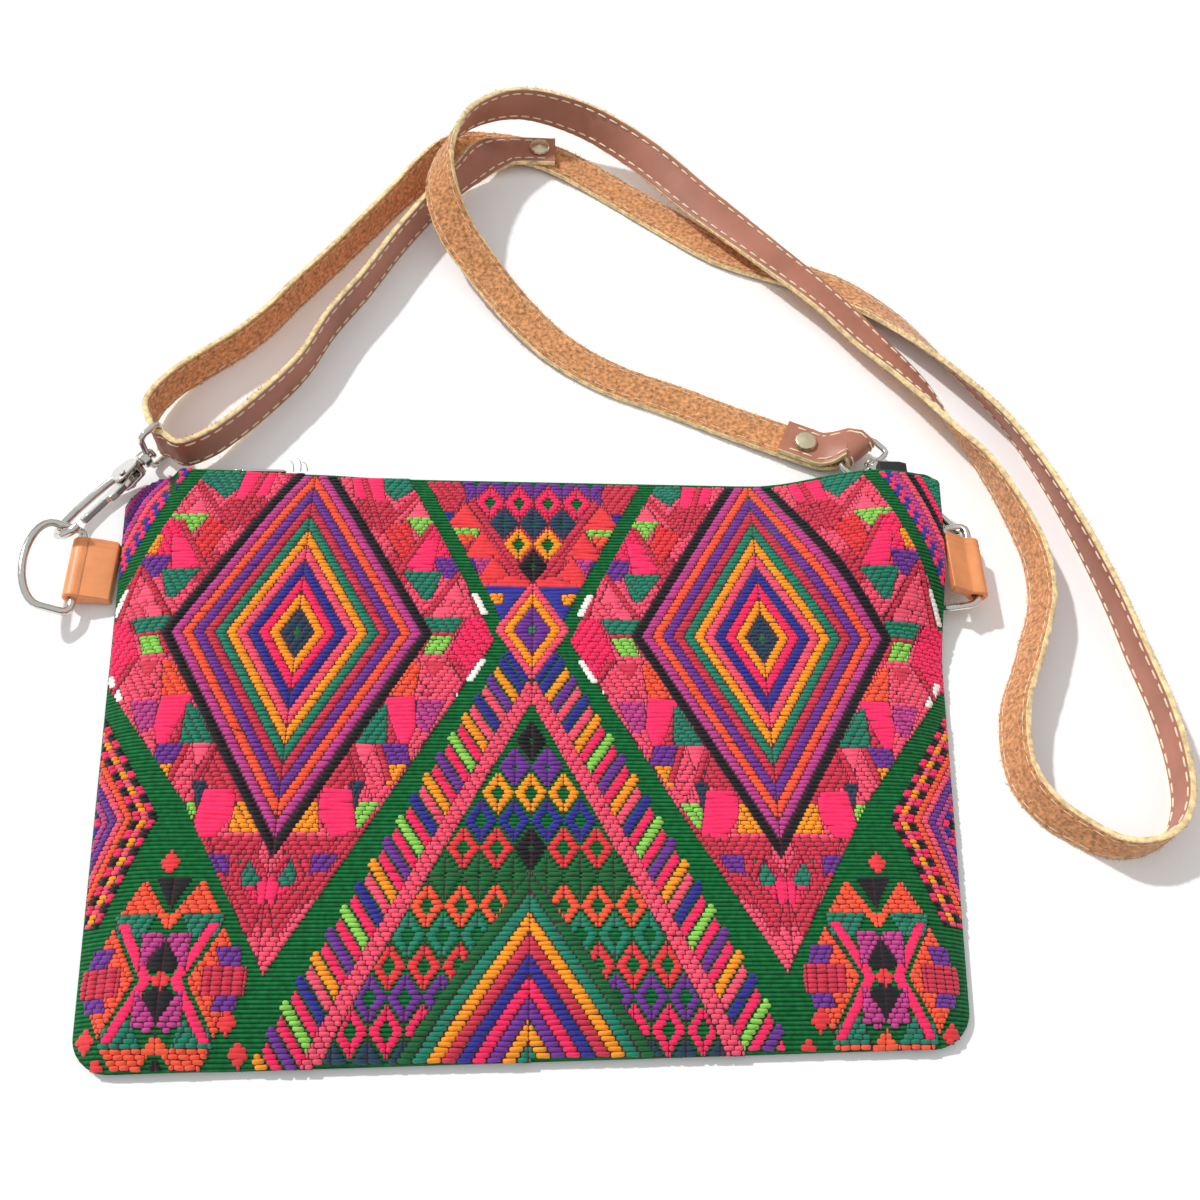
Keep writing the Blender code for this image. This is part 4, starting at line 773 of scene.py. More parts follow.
    def paint_diamonds(self) -> None:
        """Fill the bands of the two large diamonds, from the outside in."""
        bands = (Y.BLACK, Y.MAGENTA, Y.ORANGE_RED, Y.PURPLE, Y.CRIMSON, Y.TEAL, Y.ORANGE, Y.CORAL, Y.BLUE,
                 Y.PINK, Y.ORANGE)
        width = (1.0 - self.diamond_core) / len(bands)
        for u, _ in self.mirrored():
            across = u - self.diamond_mm[0]
            share = np.abs(across) / self.diamond_half_mm[0]
            share = share + np.abs(self.v - self.diamond_mm[1]) / self.diamond_half_mm[1]
            for k, yarn in enumerate(bands):
                inner = 1.0 - (k + 1) * width
                for half in (across < 0.0, across >= 0.0):
                    ring = (share <= 1.0 - k * width) & (share > inner + self.band_gap) & half
                    self.paint(ring, yarn, bead=True)
            self.paint(share <= self.diamond_core, Y.NAVY, Lay.RIGHT, u)
            self.paint(share <= 0.03, Y.GREEN)

    def clear(self, mask: np.ndarray) -> None:
        """Leave the ground cloth bare where a mask says."""
        self.keys[mask] = -1
        self.yarns[mask] = -1

    def along_line(self, u: np.ndarray, points: tuple[Point, ...]) -> np.ndarray:
        """Return the distance across to the right of a broken line that runs down the pouch.

        Args:
            u: places across.
            points: the line's corners, from the zip down.

        Returns:
            The distance, positive to the right.
        """
        levels = [p[1] for p in points][::-1]
        places = [p[0] for p in points][::-1]
        return u - np.interp(self.v, levels, places)

    def paint_edges(self) -> None:
        """Fill the stripes along both sides and leave the ribbed bands bare."""
        wide = self.rib_band_mm
        left = (Y.CORAL, Y.MAGENTA, Y.PURPLE, Y.MAGENTA, Y.BLACK, Y.BLACK)
        right = (Y.MAGENTA, Y.CORAL, Y.BLACK, Y.PINK, Y.TEAL, Y.TEAL)
        rows = np.floor(self.v / (2.0 * self.row_pitch_mm)).astype(int)
        for u, side in self.mirrored():
            s = -self.along_line(u, self.upper_line)
            band = (self.v > 40.0) & (s > wide)
            self.clear((np.abs(s) <= wide) & (self.v > 36.0))
            self.clear(band)
            for k, yarn in enumerate(left if side < 0 else right):
                start = self.stripe_start_mm + self.stripe_pitch_mm * k
                self.paint(band & (s > start) & (s <= start + self.stripe_mm), yarn, bead=True)
            for k, pair in enumerate(((Y.PINK, Y.BLUE), (Y.BLUE, Y.PINK))):
                start = self.dash_start_mm + self.dash_pitch_mm * k
                for j in (0, 1):
                    self.paint(band & (s > start) & (s <= start + self.dash_mm) & (rows % 2 == j), pair[j])
            self.clear((np.abs(self.along_line(u, self.lower_line)) <= 3.0) & (self.v < 12.0))
            self.paint_side(u, rows)
            d = self.past_middle_band(u)
            above = self.v > self.crossing_mm
            self.clear(np.abs(d) <= np.where(above, wide, wide + 0.1))
            self.clear((d > 0.0) & (u < 0.0))

    def paint_side(self, u: np.ndarray, rows: np.ndarray) -> None:
        """Fill the nested angles at one side's lower half.

        Args:
            u: places across, mirrored onto the left.
            rows: numbers of the row pairs, which the dashes follow.
        """
        s = -self.along_line(u, self.angle_line)
        zone = (self.v <= 2.0) & (self.v > -70.0) & (s > 0.0)
        self.clear(zone)
        order = ((Y.PINK, Y.BLACK), (Y.ORANGE, Y.CORAL), (Y.BLACK, Y.PINK), Y.ORANGE_RED, Y.CORAL, Y.PURPLE,
                 Y.MAGENTA, (Y.BLUE, Y.PINK), (Y.PINK, Y.BLACK), Y.LIME, Y.ORANGE, Y.TEAL)
        for k, yarns in enumerate(order):
            start = self.angle_pitch_mm * k
            mask = zone & (s > start) & (s <= start + 2.5)
            if isinstance(yarns, tuple):
                for j in (0, 1):
                    self.paint(mask & (rows % 2 == j), yarns[j], bead=True)
            else:
                self.paint(mask, yarns, bead=True)

    def small_diamond(self, x: float, y: float, outer: Yarn, open_middle: bool) -> None:
        """Fill one small diamond.

        Args:
            x: its middle across.
            y: its middle along.
            outer: its yarn.
            open_middle: whether the ground cloth shows in it.
        """
        share = np.abs(self.u - x) / self.small_half_mm[0] + np.abs(self.v - y) / self.small_half_mm[1]
        self.paint_halves(share <= 1.0, outer, x)
        self.clear(share <= (0.42 if open_middle else 0.16))

    def paint_middle(self) -> None:
        """Fill the middle: small diamonds, the medallion, feathers, the long band and the chevrons."""
        pitch_x, pitch_y = self.small_pitch_mm
        for u, side in self.mirrored():
            free = (self.along_line(u, self.inner_line) > 2.9) & (self.v > 26.0)
            self.paint(free & (self.v > 46.0) & (u < 0.0), Y.CRIMSON, Lay.LEFT if side < 0 else Lay.RIGHT)
            for patch in MIDDLE_FIGURES:
                lay = self.turned(patch.lay) if side > 0 else patch.lay
                self.paint(self.inside(u, self.v, patch.corners) & free, patch.yarn, lay)
        rows = ((5, Y.PURPLE, False), (4, Y.PINK, True), (3, Y.NAVY, False), (2, Y.ORANGE, True),
                (1, Y.BLACK, False))
        for k, (count, yarn, hollow) in enumerate(rows):
            level = 93.0 - k * pitch_y
            for i in range(count):
                self.small_diamond((i - 0.5 * (count - 1)) * pitch_x, level, yarn, hollow)
        self.paint_feathers()
        half_x, half_y = self.medallion_half_mm
        share = np.abs(self.u) / half_x + np.abs(self.v - self.medallion_mm) / half_y
        for limit, yarn in ((1.0, Y.CORAL), (0.77, Y.ORANGE), (0.5, Y.PURPLE), (0.14, Y.TEAL)):
            self.paint_halves(share <= limit, yarn)
        for u, _ in self.mirrored():
            for corners in (((-21.3, 45), (-18.8, 45), (-15.0, 37), (-17.6, 37)),
                            ((-17.4, 19.5), (-15.2, 19.5), (-20.2, 10.5), (-22.8, 10.5))):
                self.paint(self.inside(u, self.v, corners), Y.WHITE)
        self.paint_triangle(pitch_x, pitch_y)

    def middle_half(self) -> np.ndarray:
        """Return half the width of the middle triangle at each row."""
        return (9.0 - self.v) / self.feather_slope

    def paint_feathers(self) -> None:
        """Fill the long leaning band on each side of the middle and the bars that fan out from it."""
        fill = (Y.LIME, Y.PINK, Y.PURPLE, Y.PINK, Y.ORANGE, Y.CORAL, Y.BLUE, Y.PINK)
        first = (Y.PINK, Y.ORANGE, Y.CORAL, Y.BLUE, Y.CORAL, Y.PURPLE, Y.ORANGE, Y.BLUE, Y.BLUE)
        for u, side in self.mirrored():
            s = -self.middle_half() - u
            past = s - self.spine_half_mm
            fan = (s > self.spine_half_mm) & (self.v < self.feather_top_mm) & (self.past_middle_band(u) > 3.2)
            rank = (self.v - past * self.feather_lean + self.feather_start_mm) / self.feather_pitch_mm
            index = np.floor(rank).astype(int)
            long, short = self.feather_reach_mm
            bar = fan & (rank - index < self.feather_share) & (s < np.where(index % 2 != 0, short, long))
            for k in range(-30, 10):
                self.paint(bar & (index == k), first[k - 1] if k > 0 else fill[-k % len(fill)], bead=True)
            spine = (np.abs(s) <= self.spine_half_mm) & (self.v < 11.0) & (u < 0.0)
            self.paint(spine, Y.CORAL, Lay.LEFT if side < 0 else Lay.RIGHT)

    def paint_triangle(self, pitch_x: float, pitch_y: float) -> None:
        """Fill the rows of small diamonds under the medallion and the chevrons below them.

        Args:
            pitch_x: the small diamonds' pitch across.
            pitch_y: their pitch along.
        """
        within = np.abs(self.u) < self.middle_half() - self.spine_half_mm
        outside = np.abs(self.u) >= self.middle_half() - 3.2
        rows = ((Y.BLACK, False), (Y.PURPLE, False), (Y.ORANGE, True), (Y.BLUE, True), (Y.RED, True),
                (Y.GREEN, False), (Y.ORANGE_RED, True), (Y.TEAL, True), (Y.RED, True), (Y.PURPLE, True),
                (Y.PINK, True), (Y.NAVY, False))
        before = [layer[outside] for layer in (self.keys, self.yarns, self.lays)]
        for k, (yarn, hollow) in enumerate(rows):
            for i in range(k + 1):
                black = k == 4 and i == 2
                place = (i - 0.5 * k) * pitch_x
                chosen = Y.BLACK if black else yarn
                self.small_diamond(place, -10.0 - k * pitch_y, chosen, hollow and not black)
        for layer, kept in zip((self.keys, self.yarns, self.lays), before):
            layer[outside] = kept
        order = (Y.GREEN, Y.TEAL, Y.ORANGE, Y.CRIMSON, Y.BLUE, Y.PINK, Y.PURPLE, Y.ORANGE, Y.TEAL, Y.TEAL)
        level = self.v + np.abs(self.u) * self.chevron_slope
        for k, yarn in enumerate(order):
            start = -57.0 - self.chevron_pitch_mm * (k - 0.5)
            self.paint_halves((level <= start) & (level > start - 6.0) & within, yarn)

    def paint_corners(self) -> None:
        """Fill the figure in each lower corner, with small red diamonds about it."""
        middle, level = self.corner_mm
        bare = ((-107.5, -50), (-83, -84), (-86, -112), (-129, -112), (-130, -84))
        for u, _ in self.mirrored():
            self.clear(self.inside(u, self.v, bare))
            for patch in CORNER_FIGURE:
                mask = self.inside(-np.abs(u - middle), np.abs(self.v - level), patch.corners)
                for half in (u < middle, u >= middle):
                    self.paint(mask & half, patch.yarn, patch.lay)
            for x, y in ((-109.5, -51), (-128, -103), (-124.5, -111), (-87.5, -98.5), (-84, -107)):
                share = np.abs(u - x) / 3.2 + np.abs(self.v - y) / 3.8
                self.paint(share <= 1.0, Y.RED)

    def paint_all(self) -> None:
        """Fill the whole pattern, the lowest shapes first."""
        self.paint_figures()
        self.paint_diamonds()
        self.paint_edges()
        self.paint_corners()
        self.paint_middle()
        x = np.broadcast_to(self.columns, self.u.shape) * MM
        self.clear(self.form.seam_distance(x, self.y * MM) < 0.2 * MM)
        self.clear(self.y * MM > self.form.top_at(x) - 0.5 * MM)

    def floats(self) -> dict[int, list[Float]]:
        """Find each yarn's floats.

        Returns:
            For each yarn's number its floats: start, end, row and 1 for a bead of a cord or 0.
        """
        found: dict[int, list[Float]] = {}
        for r, level in enumerate(self.rows):
            keys = self.keys[r]
            cuts = np.flatnonzero(np.diff(keys)) + 1
            starts = np.concatenate(([0], cuts))
            ends = np.concatenate((cuts, [len(keys)]))
            for a, b in zip(starts, ends):
                if keys[a] < 0 or b - a < self.shortest:
                    continue
                u0, u1 = self.columns[a], self.columns[b - 1] + self.step_mm
                found.setdefault(int(self.yarns[r, a]), []).append((u0, u1, level, int(self.lays[r, a])))
        return found

    def build(self) -> list[bpy.types.Object]:
        """Make one piece of raised floats for each yarn.

        Returns:
            The pieces.
        """
        self.paint_all()
        pieces = [self.build_underlay_with_painted_shade()]
        for index, runs in sorted(self.floats().items()):
            yarn = self.palette[index]
            name = "yarn_" + yarn.name.lower()
            piece = self.build_yarn(name, runs, index)
            finish = Finish(name, yarn.value, 0.72, sheen=0.25, specular=0.25, tone=0.16, tone_scale=420.0,
                            bump=0.15 * MM, bump_scale=1600.0)
            piece.data.materials.append(finish.build())
            pieces.append(piece)
        return pieces

    def build_underlay_with_painted_shade(self) -> bpy.types.Object:
        """Make the dark bed under the floats: partly the bound yarn's own colour, partly painted shade
        between the floats.

        Returns:
            The piece.
        """
        verts, faces, start = [], [], 0
        half = 0.5 * self.row_pitch_mm
        for r, level in enumerate(self.rows):
            filled = self.keys[r] >= 0
            cuts = np.flatnonzero(np.diff(filled)) + 1
            for a, b in zip(np.concatenate(([0], cuts)), np.concatenate((cuts, [len(filled)]))):
                if not filled[a] or b - a < self.shortest:
                    continue
                u0, u1 = self.columns[a] + 0.1, self.columns[b - 1] + self.step_mm - 0.1
                places = np.linspace(u0, u1, max(2, int((u1 - u0) / 3.0) + 1))
                u = np.tile(places, 2)
                y = np.repeat([level + half, level - half], len(places))
                z = self.form.height(u * MM, np.minimum(y * MM, self.form.top_y)) / MM + self.bed_mm
                verts.append(np.stack([u, y, z], -1))
                faces.append(grid_faces(2, len(places), start)[:, ::-1])
                start += 2 * len(places)
        # Its dark maroon colour is partly painted shade in the gaps between the floats and partly the bound
        # yarn's own colour.
        bed = mesh_object("yarn_bed", np.concatenate(verts) * MM, np.concatenate(faces))
        bed.data.materials.append(Finish("yarn_bed", "4E1A28", 0.9, tone=0.3, tone_scale=300.0).build())
        return bed

    def build_yarn(self, name: str, runs: list[Float], seed: int) -> bpy.types.Object:
        """Make the raised floats of one yarn.

        Args:
            name: the piece's name.
            runs: start, end, row and kind of each float, in millimetres.
            seed: for the small differences between floats.

        Returns:
            The piece.
        """
        rng = np.random.default_rng(self.seed + seed)
        profile = np.array([(-1.0, 0.0), (-0.66, 0.72), (0.0, 1.0), (0.66, 0.72), (1.0, 0.0)])
        verts, faces, start = [], [], 0
        for u0, u1, level, bead in runs:
            length = u1 - u0
            u0, u1 = u0 + self.trims_mm[bead], u1 - self.trims_mm[bead]
            end = min(self.ends_mm[bead], 0.42 * (u1 - u0))
            inner = max(1, int(math.ceil((u1 - u0 - 2 * end) / 2.6)))
            places = np.concatenate(([u0], np.linspace(u0 + end, u1 - end, inner + 1), [u1]))
            swell = np.ones(len(places))
            swell[0] = swell[-1] = 0.0
            tall = self.heights_mm[bead] * (0.8 + 0.4 * rng.random())
            if length < 1.6:
                tall *= 0.75
            wide = 0.5 * self.row_pitch_mm * self.widths[bead]
            lean = (rng.random() - 0.5) * 0.16
            u = np.repeat(places, 5)
            grow = np.repeat(swell, 5)
            across = np.tile(profile[:, 0], len(places)) * wide * (0.72 + 0.28 * grow)
            rise = np.tile(profile[:, 1], len(places)) * tall * grow
            y = level + across + lean * (u - 0.5 * (u0 + u1)) + 0.08 * rng.standard_normal()
            z = self.form.height(u * MM, np.minimum(y * MM, self.form.top_y)) / MM
            verts.append(np.stack([u, y, z + self.yarn_mm + rise], -1))
            faces.append(grid_faces(len(places), 5, start))
            start += 5 * len(places)
        return mesh_object(name, np.concatenate(verts) * MM, np.concatenate(faces)[:, ::-1])


@dataclass
class GroundCloth:
    """The dark green ribbed cloth of the front, as a thin closed shell."""

    form: PouchForm = FORM
    rib: float = 1.3 * MM
    rib_height: float = 0.6 * MM
    thick: float = 1.3 * MM
    thin: float = 0.5 * MM
    seam_width: float = 2.0 * MM
    lowest: float = 2.3 * MM
    columns: int = 49

    def build(self) -> bpy.types.Object:
        """Make the cloth over the whole outline.

        Returns:
            The piece that stands for the front panel.
        """
        form = self.form
        step = self.rib / 4.0
        ys = np.arange(form.bottom_y - 0.003, form.top_y, step)
        shares = np.sin(np.linspace(-0.5 * math.pi, 0.5 * math.pi, self.columns))
        rows = []
        for y in ys:
            half = float(form.half_width(y))
            rows.append(np.stack([shares * half, np.full(self.columns, y)], -1))
        grid = np.array(rows)
        x, y = grid[..., 0], grid[..., 1]
        y = np.clip(y, form.bottom_at(x), form.top_at(x))
        x, y = form.pull_in(x, y)
        ribs = self.rib_height * np.abs(np.sin(np.pi * y / self.rib))
        keep = smoothstep(form.seam_distance(x, y), 0.0, self.seam_width)
        z = form.height(x, y) - 0.5 * self.rib_height * keep
        top = np.stack([x, y, z + ribs * keep], -1)
        drop = self.thin + (self.thick - self.thin) * keep
        low = np.stack([x, y, np.maximum(z - drop, form.lift_at(x, y) + self.lowest)], -1)
        cloth = shell_object("front_cloth", top, low)
        # The groove colour 032812 is painted shade in the lines between the ribs.
        finish = Finish("green_cloth", "12743A", 0.85, sheen=0.1, specular=0.15, tone=0.35, tone_scale=500.0,
                        bump=0.2 * MM, bump_scale=1300.0, groove="032812", groove_pitch=self.rib)
        cloth.data.materials.append(finish.build())
        return cloth


@dataclass
class BackCloth:
    """The plain cloth back of the pouch, which bellies down to the table inside its sewn edge."""

    form: PouchForm = FORM
    thick: float = 2.0 * MM
    edge_rise: float = 0.8 * MM
    edge_width: float = 9.0 * MM
    sag: float = 0.18 * MM
    columns: int = 97
    rows: int = 73
    rib: float = 2.4 * MM
    rib_height: float = 0.1 * MM

    def build(self) -> bpy.types.Object:
        """Make the cloth as a thin closed shell.

        Returns:
            The piece that stands for the back panel.
        """
        form = self.form
        shares = np.sin(np.linspace(-0.5 * math.pi, 0.5 * math.pi, self.columns))
        levels = np.sin(np.linspace(-0.5 * math.pi, 0.5 * math.pi, self.rows))
        ys = form.bottom_y - 0.002 + (levels + 1.0) * 0.5 * (form.top_y - form.bottom_y + 0.002)
        y = np.repeat(ys[:, None], self.columns, 1)
        x = shares[None, :] * form.half_width(y)
        y = np.maximum(y, form.bottom_at(x))
        x, y = form.pull_in(x, y)
        inside = np.minimum(form.seam_distance(x, y), form.top_y - y)
        rise = self.edge_rise * (1.0 - form.ease(inside, self.edge_width))
        sag = self.sag * (1.0 + np.sin(x / 0.021 + 1.4 * np.sin(y / 0.03))) * smoothstep(inside, 0.0, 0.03)
        z = form.lift_at(x, y)
        top = np.stack([x, y, z + self.thick - 0.1 * MM], -1)
        ribs = self.rib_height * np.abs(np.sin(np.pi * y / self.rib))
        low = np.stack([x, y, z + np.minimum(rise + sag + ribs, 0.6 * self.thick)], -1)
        back = shell_object("back_cloth", top, low)
        finish = Finish("back_green", "0F6233", 0.88, sheen=0.2, specular=0.2, tone=0.16, tone_scale=260.0,
                        bump=0.12 * MM, bump_scale=2200.0)
        back.data.materials.append(finish.build())
        return back


@dataclass(frozen=True)
class Refined:
    """A CAD node made again with a fine, rounded surface, for hard pieces and for the loose lining."""

    node: str
    body: str
    slot: str
    voxel: float = 0.24 * MM
    rounds: int = 5
    ripple: float = 0.0
    creases_mm: tuple[float, ...] = ()
    crease_width: float = 0.4 * MM
    crease_depth: float = 0.26 * MM

    def build(self, material: bpy.types.Material) -> bpy.types.Object:
        """Make the fine piece in place of the node.

        Args:
            material: its finish.

        Returns:
            The new piece, riding on its body.
        """
        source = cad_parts[self.node]
        mesh = source.data.copy()
        mesh.transform(source.matrix_world)
        piece = bpy.data.objects.new(self.node + "_fine", mesh)
        bpy.context.scene.collection.objects.link(piece)
        if self.voxel:
            remesh = piece.modifiers.new("remesh", "REMESH")
            remesh.mode = "VOXEL"
            remesh.voxel_size = self.voxel
            smooth = piece.modifiers.new("smooth", "SMOOTH")
            smooth.factor = 0.5
            smooth.iterations = self.rounds
        else:
            finer = piece.modifiers.new("finer", "SUBSURF")
            finer.subdivision_type = "SIMPLE"
            finer.levels = finer.render_levels = self.rounds
        bpy.context.view_layer.update()
        fine = bpy.data.meshes.new_from_object(piece.evaluated_get(bpy.context.evaluated_depsgraph_get()))
        piece.modifiers.clear()
        piece.data = fine
        if self.ripple:
            self.add_ripple(fine)
        if self.creases_mm:
            self.fill_fold(fine)
            self.add_creases(fine)
        fine.materials.clear()
        fine.materials.append(material)
        fine.shade_smooth()
        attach(piece, self.body)
        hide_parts(self.node)
        LOG.info("%s: %d faces", piece.name, len(fine.polygons))
        return piece

    @staticmethod
    def fill_fold(mesh: bpy.types.Mesh) -> None:
        """Bow a tab's upper leather straight from the ring's bar to the pouch.

        Args:
            mesh: the tab's mesh.
        """
        spots, normals = read_points(mesh)
        away = np.abs(spots[:, 0])
        root = float(away.min())
        top = int(np.argmax(spots[:, 2]))
        rim = float(spots[away < root + 0.6 * MM, 2].max())
        share = np.clip((away - root) / (away[top] - root), 0.0, 1.0)
        wanted = rim + (spots[top, 2] - rim) * share ** 0.8
        chosen = (away <= away[top]) & (normals[:, 2] > 0.35)
        spots[:, 2] = np.where(chosen, np.maximum(spots[:, 2], wanted), spots[:, 2])
        write_points(mesh, spots)

    def add_creases(self, mesh: bpy.types.Mesh) -> None:
        """Press thin lines across leather, counted from its edge nearest the zip.

        Args:
            mesh: the leather's mesh.
        """
        spots, normals = read_points(mesh)
        top = float(spots[:, 1].max())
        for inset in self.creases_mm:
            away = np.abs(top - inset * MM - spots[:, 1]) / self.crease_width
            spots -= normals * (self.crease_depth * np.clip(1.0 - away, 0.0, 1.0))[:, None]
        write_points(mesh, spots)

    def add_ripple(self, mesh: bpy.types.Mesh) -> None:
        """Give loose cloth shallow creases.

        Args:
            mesh: the cloth's mesh.
        """
        spots = read_points(mesh)[0]
        wave = np.sin(spots[:, 0] / 0.0065 + 2.0 * np.sin(spots[:, 1] / 0.016)) + np.sin(spots[:, 1] / 0.009)
        spots[:, 2] += 0.5 * self.ripple * wave
        write_points(mesh, spots)


@dataclass
class ZipHalf:
    """One half of the zip: a woven tape and a close row of small rounded teeth."""

    upper: bool
    form: PouchForm = FORM
    start: float = -0.124
    end: float = 0.127
    pitch: float = 2.6 * MM
    tooth: Spot = (1.25 * MM, 1.9 * MM, 1.15 * MM)
    tape: float = 0.42 * MM
    base: float = 3.1 * MM
    height: float = 3.0 * MM
    teeth_y: Point = (0.0998, 0.1018)
    tape_y: float = 0.0885
    stations: int = 101

    def build(self, material: bpy.types.Material) -> bpy.types.Object:
        """Make the half.

        Args:
            material: the zip's finish.

        Returns:
            The piece that stands for this half.
        """
        sign = -1.0 if self.upper else 1.0
        base = self.base + (self.height if self.upper else 0.0)
        xs = np.linspace(self.start, self.end, self.stations)
        inner, outer = 0.06 * MM, self.tape
        section = [(self.tape_y, inner), (self.teeth_y[0], inner), (self.teeth_y[1] - 0.2 * MM, inner),
                   (self.teeth_y[1] - 0.2 * MM, outer), (self.teeth_y[0] + 0.5 * MM, outer + 0.1 * MM),
                   (self.teeth_y[0] - 0.5 * MM, outer), (self.tape_y, outer)]
        rows = []
        for x in xs:
            lift = float(self.form.lift_at(np.array(x), np.array(self.form.top_y)))
            rows.append([(x, y, base + lift + sign * n) for y, n in section])
        sides = len(section)
        verts = [np.array(rows).reshape(-1, 3)]
        faces = [grid_faces(self.stations, sides, closed=True)]
        if not self.upper:
            faces[0] = faces[0][:, ::-1]
        start = self.stations * sides
        long, broad, deep = self.tooth
        shift = 0.5 * self.pitch if self.upper else 0.0
        for x in np.arange(self.start + 1.2 * MM + shift, self.end - 1.2 * MM, self.pitch):
            lift = float(self.form.lift_at(np.array(x), np.array(self.form.top_y)))
            rings = []
            for share, grow in ((0.0, 1.0), (0.6, 0.92), (1.0, 0.55), (1.04, 0.05)):
                turns = np.linspace(0.0, 2.0 * math.pi, 9)[:-1] + math.pi / 8.0
                wide = 0.5 * long * grow * np.sign(np.cos(turns)) * np.abs(np.cos(turns)) ** 0.6
                tall = 0.5 * broad * grow * np.sign(np.sin(turns)) * np.abs(np.sin(turns)) ** 0.6
                level = base + lift + sign * (outer + deep * share)
                middle = 0.5 * (self.teeth_y[0] + self.teeth_y[1])
                rings.append(np.stack([x + wide, middle + tall, np.full(8, level)], -1))
            verts.append(np.concatenate(rings))
            ring = grid_faces(4, 8, start, closed=True)
            faces.append(ring[:, ::-1] if self.upper else ring)
            start += 32
        half = mesh_object("zip_fine_front" if self.upper else "zip_fine_back", np.concatenate(verts),
                           np.concatenate(faces))
        half.data.materials.append(material)
        return half


@dataclass(frozen=True)
class Studio:
    """The camera, the lamp, the white world and the white floor."""

    camera_spot_mm: Spot = (-5.03, -160.77, 398.47)
    tilt: float = 28.6556
    yaw: float = -7.5157
    roll: float = 7.4320
    lens: float = 37.5
    sun: float = 2.35
    sky: float = 0.65
    sun_angle: float = 2.5
    sun_from: Spot = (-0.62, 0.52, 0.78)
    dark_band: Point = (0.16, 0.4)
    dark: Spot = (0.05, 0.05, 0.055)
    floor_half: float = 3.0
    floor_drop: float = 0.05 * MM

    def build(self) -> None:
        """Place the camera, the lamp and the floor."""
        scene = bpy.context.scene
        lens = bpy.data.cameras.new("camera")
        lens.lens = self.lens
        lens.sensor_width = 36.0
        lens.clip_start = 0.01
        camera = bpy.data.objects.new("camera", lens)
        turn = Matrix.Rotation(math.radians(self.yaw), 4, "Z")
        turn = turn @ Matrix.Rotation(math.radians(self.tilt), 4, "X")
        turn = turn @ Matrix.Rotation(math.radians(self.roll), 4, "Z")
        camera.matrix_world = Matrix.Translation(Vector(self.camera_spot_mm) * MM) @ turn
        scene.collection.objects.link(camera)
        scene.camera = camera
        lamp = bpy.data.lights.new("sun", "SUN")
        lamp.energy = self.sun
        lamp.angle = math.radians(self.sun_angle)
        light = bpy.data.objects.new("sun", lamp)
        light.rotation_euler = Vector(self.sun_from).to_track_quat("Z", "Y").to_euler()
        scene.collection.objects.link(light)
        world = bpy.data.worlds.new("world")
        world.use_nodes = True
        self.build_sky(world)
        scene.world = world
        self.build_floor()
        scene.view_settings.view_transform = "Standard"

    def build_floor(self) -> None:
        """Place the white floor that takes the object's shadow."""
        far = self.floor_half
        corners = [(-far, -far, 0), (far, -far, 0), (far, far, 0), (-far, far, 0)]
        floor = mesh_object("floor", corners, [(0, 1, 2, 3)], False)
        floor.location.z = -self.floor_drop
        mat = bpy.data.materials.new("floor")
        mat.use_nodes = True
        shader = mat.node_tree.nodes["Principled BSDF"]
        shader.inputs["Base Color"].default_value = (1.0, 1.0, 1.0, 1.0)
        shader.inputs["Roughness"].default_value = 1.0
        shader.inputs["Specular IOR Level"].default_value = 0.0
        floor.data.materials.append(mat)
        floor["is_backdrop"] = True

    def build_sky(self, world: bpy.types.World) -> None:
        """Make the sky white overhead with a dark band near the horizon, which the metal mirrors.

        Args:
            world: the scene's world.
        """
        nodes, links = world.node_tree.nodes, world.node_tree.links
        back = nodes["Background"]
        place = nodes.new("ShaderNodeTexCoord")
        split = nodes.new("ShaderNodeSeparateXYZ")
        links.new(place.outputs["Generated"], split.inputs[0])
        ramp = nodes.new("ShaderNodeValToRGB")
        ramp.color_ramp.elements[0].position = self.dark_band[0]
        ramp.color_ramp.elements[0].color = (*self.dark, 1.0)
        ramp.color_ramp.elements[1].position = self.dark_band[1]
        ramp.color_ramp.elements[1].color = (1.0, 1.0, 1.0, 1.0)
        links.new(split.outputs["Z"], ramp.inputs["Fac"])
        rays = nodes.new("ShaderNodeLightPath")
        mix = nodes.new("ShaderNodeMix")
        mix.data_type = "RGBA"
        mix.inputs[7].default_value = (*(1.0 / self.sky,) * 3, 1.0)
        links.new(rays.outputs["Is Camera Ray"], mix.inputs[0])
        links.new(ramp.outputs["Color"], mix.inputs[6])
        links.new(mix.outputs[2], back.inputs["Color"])
        back.inputs["Strength"].default_value = self.sky


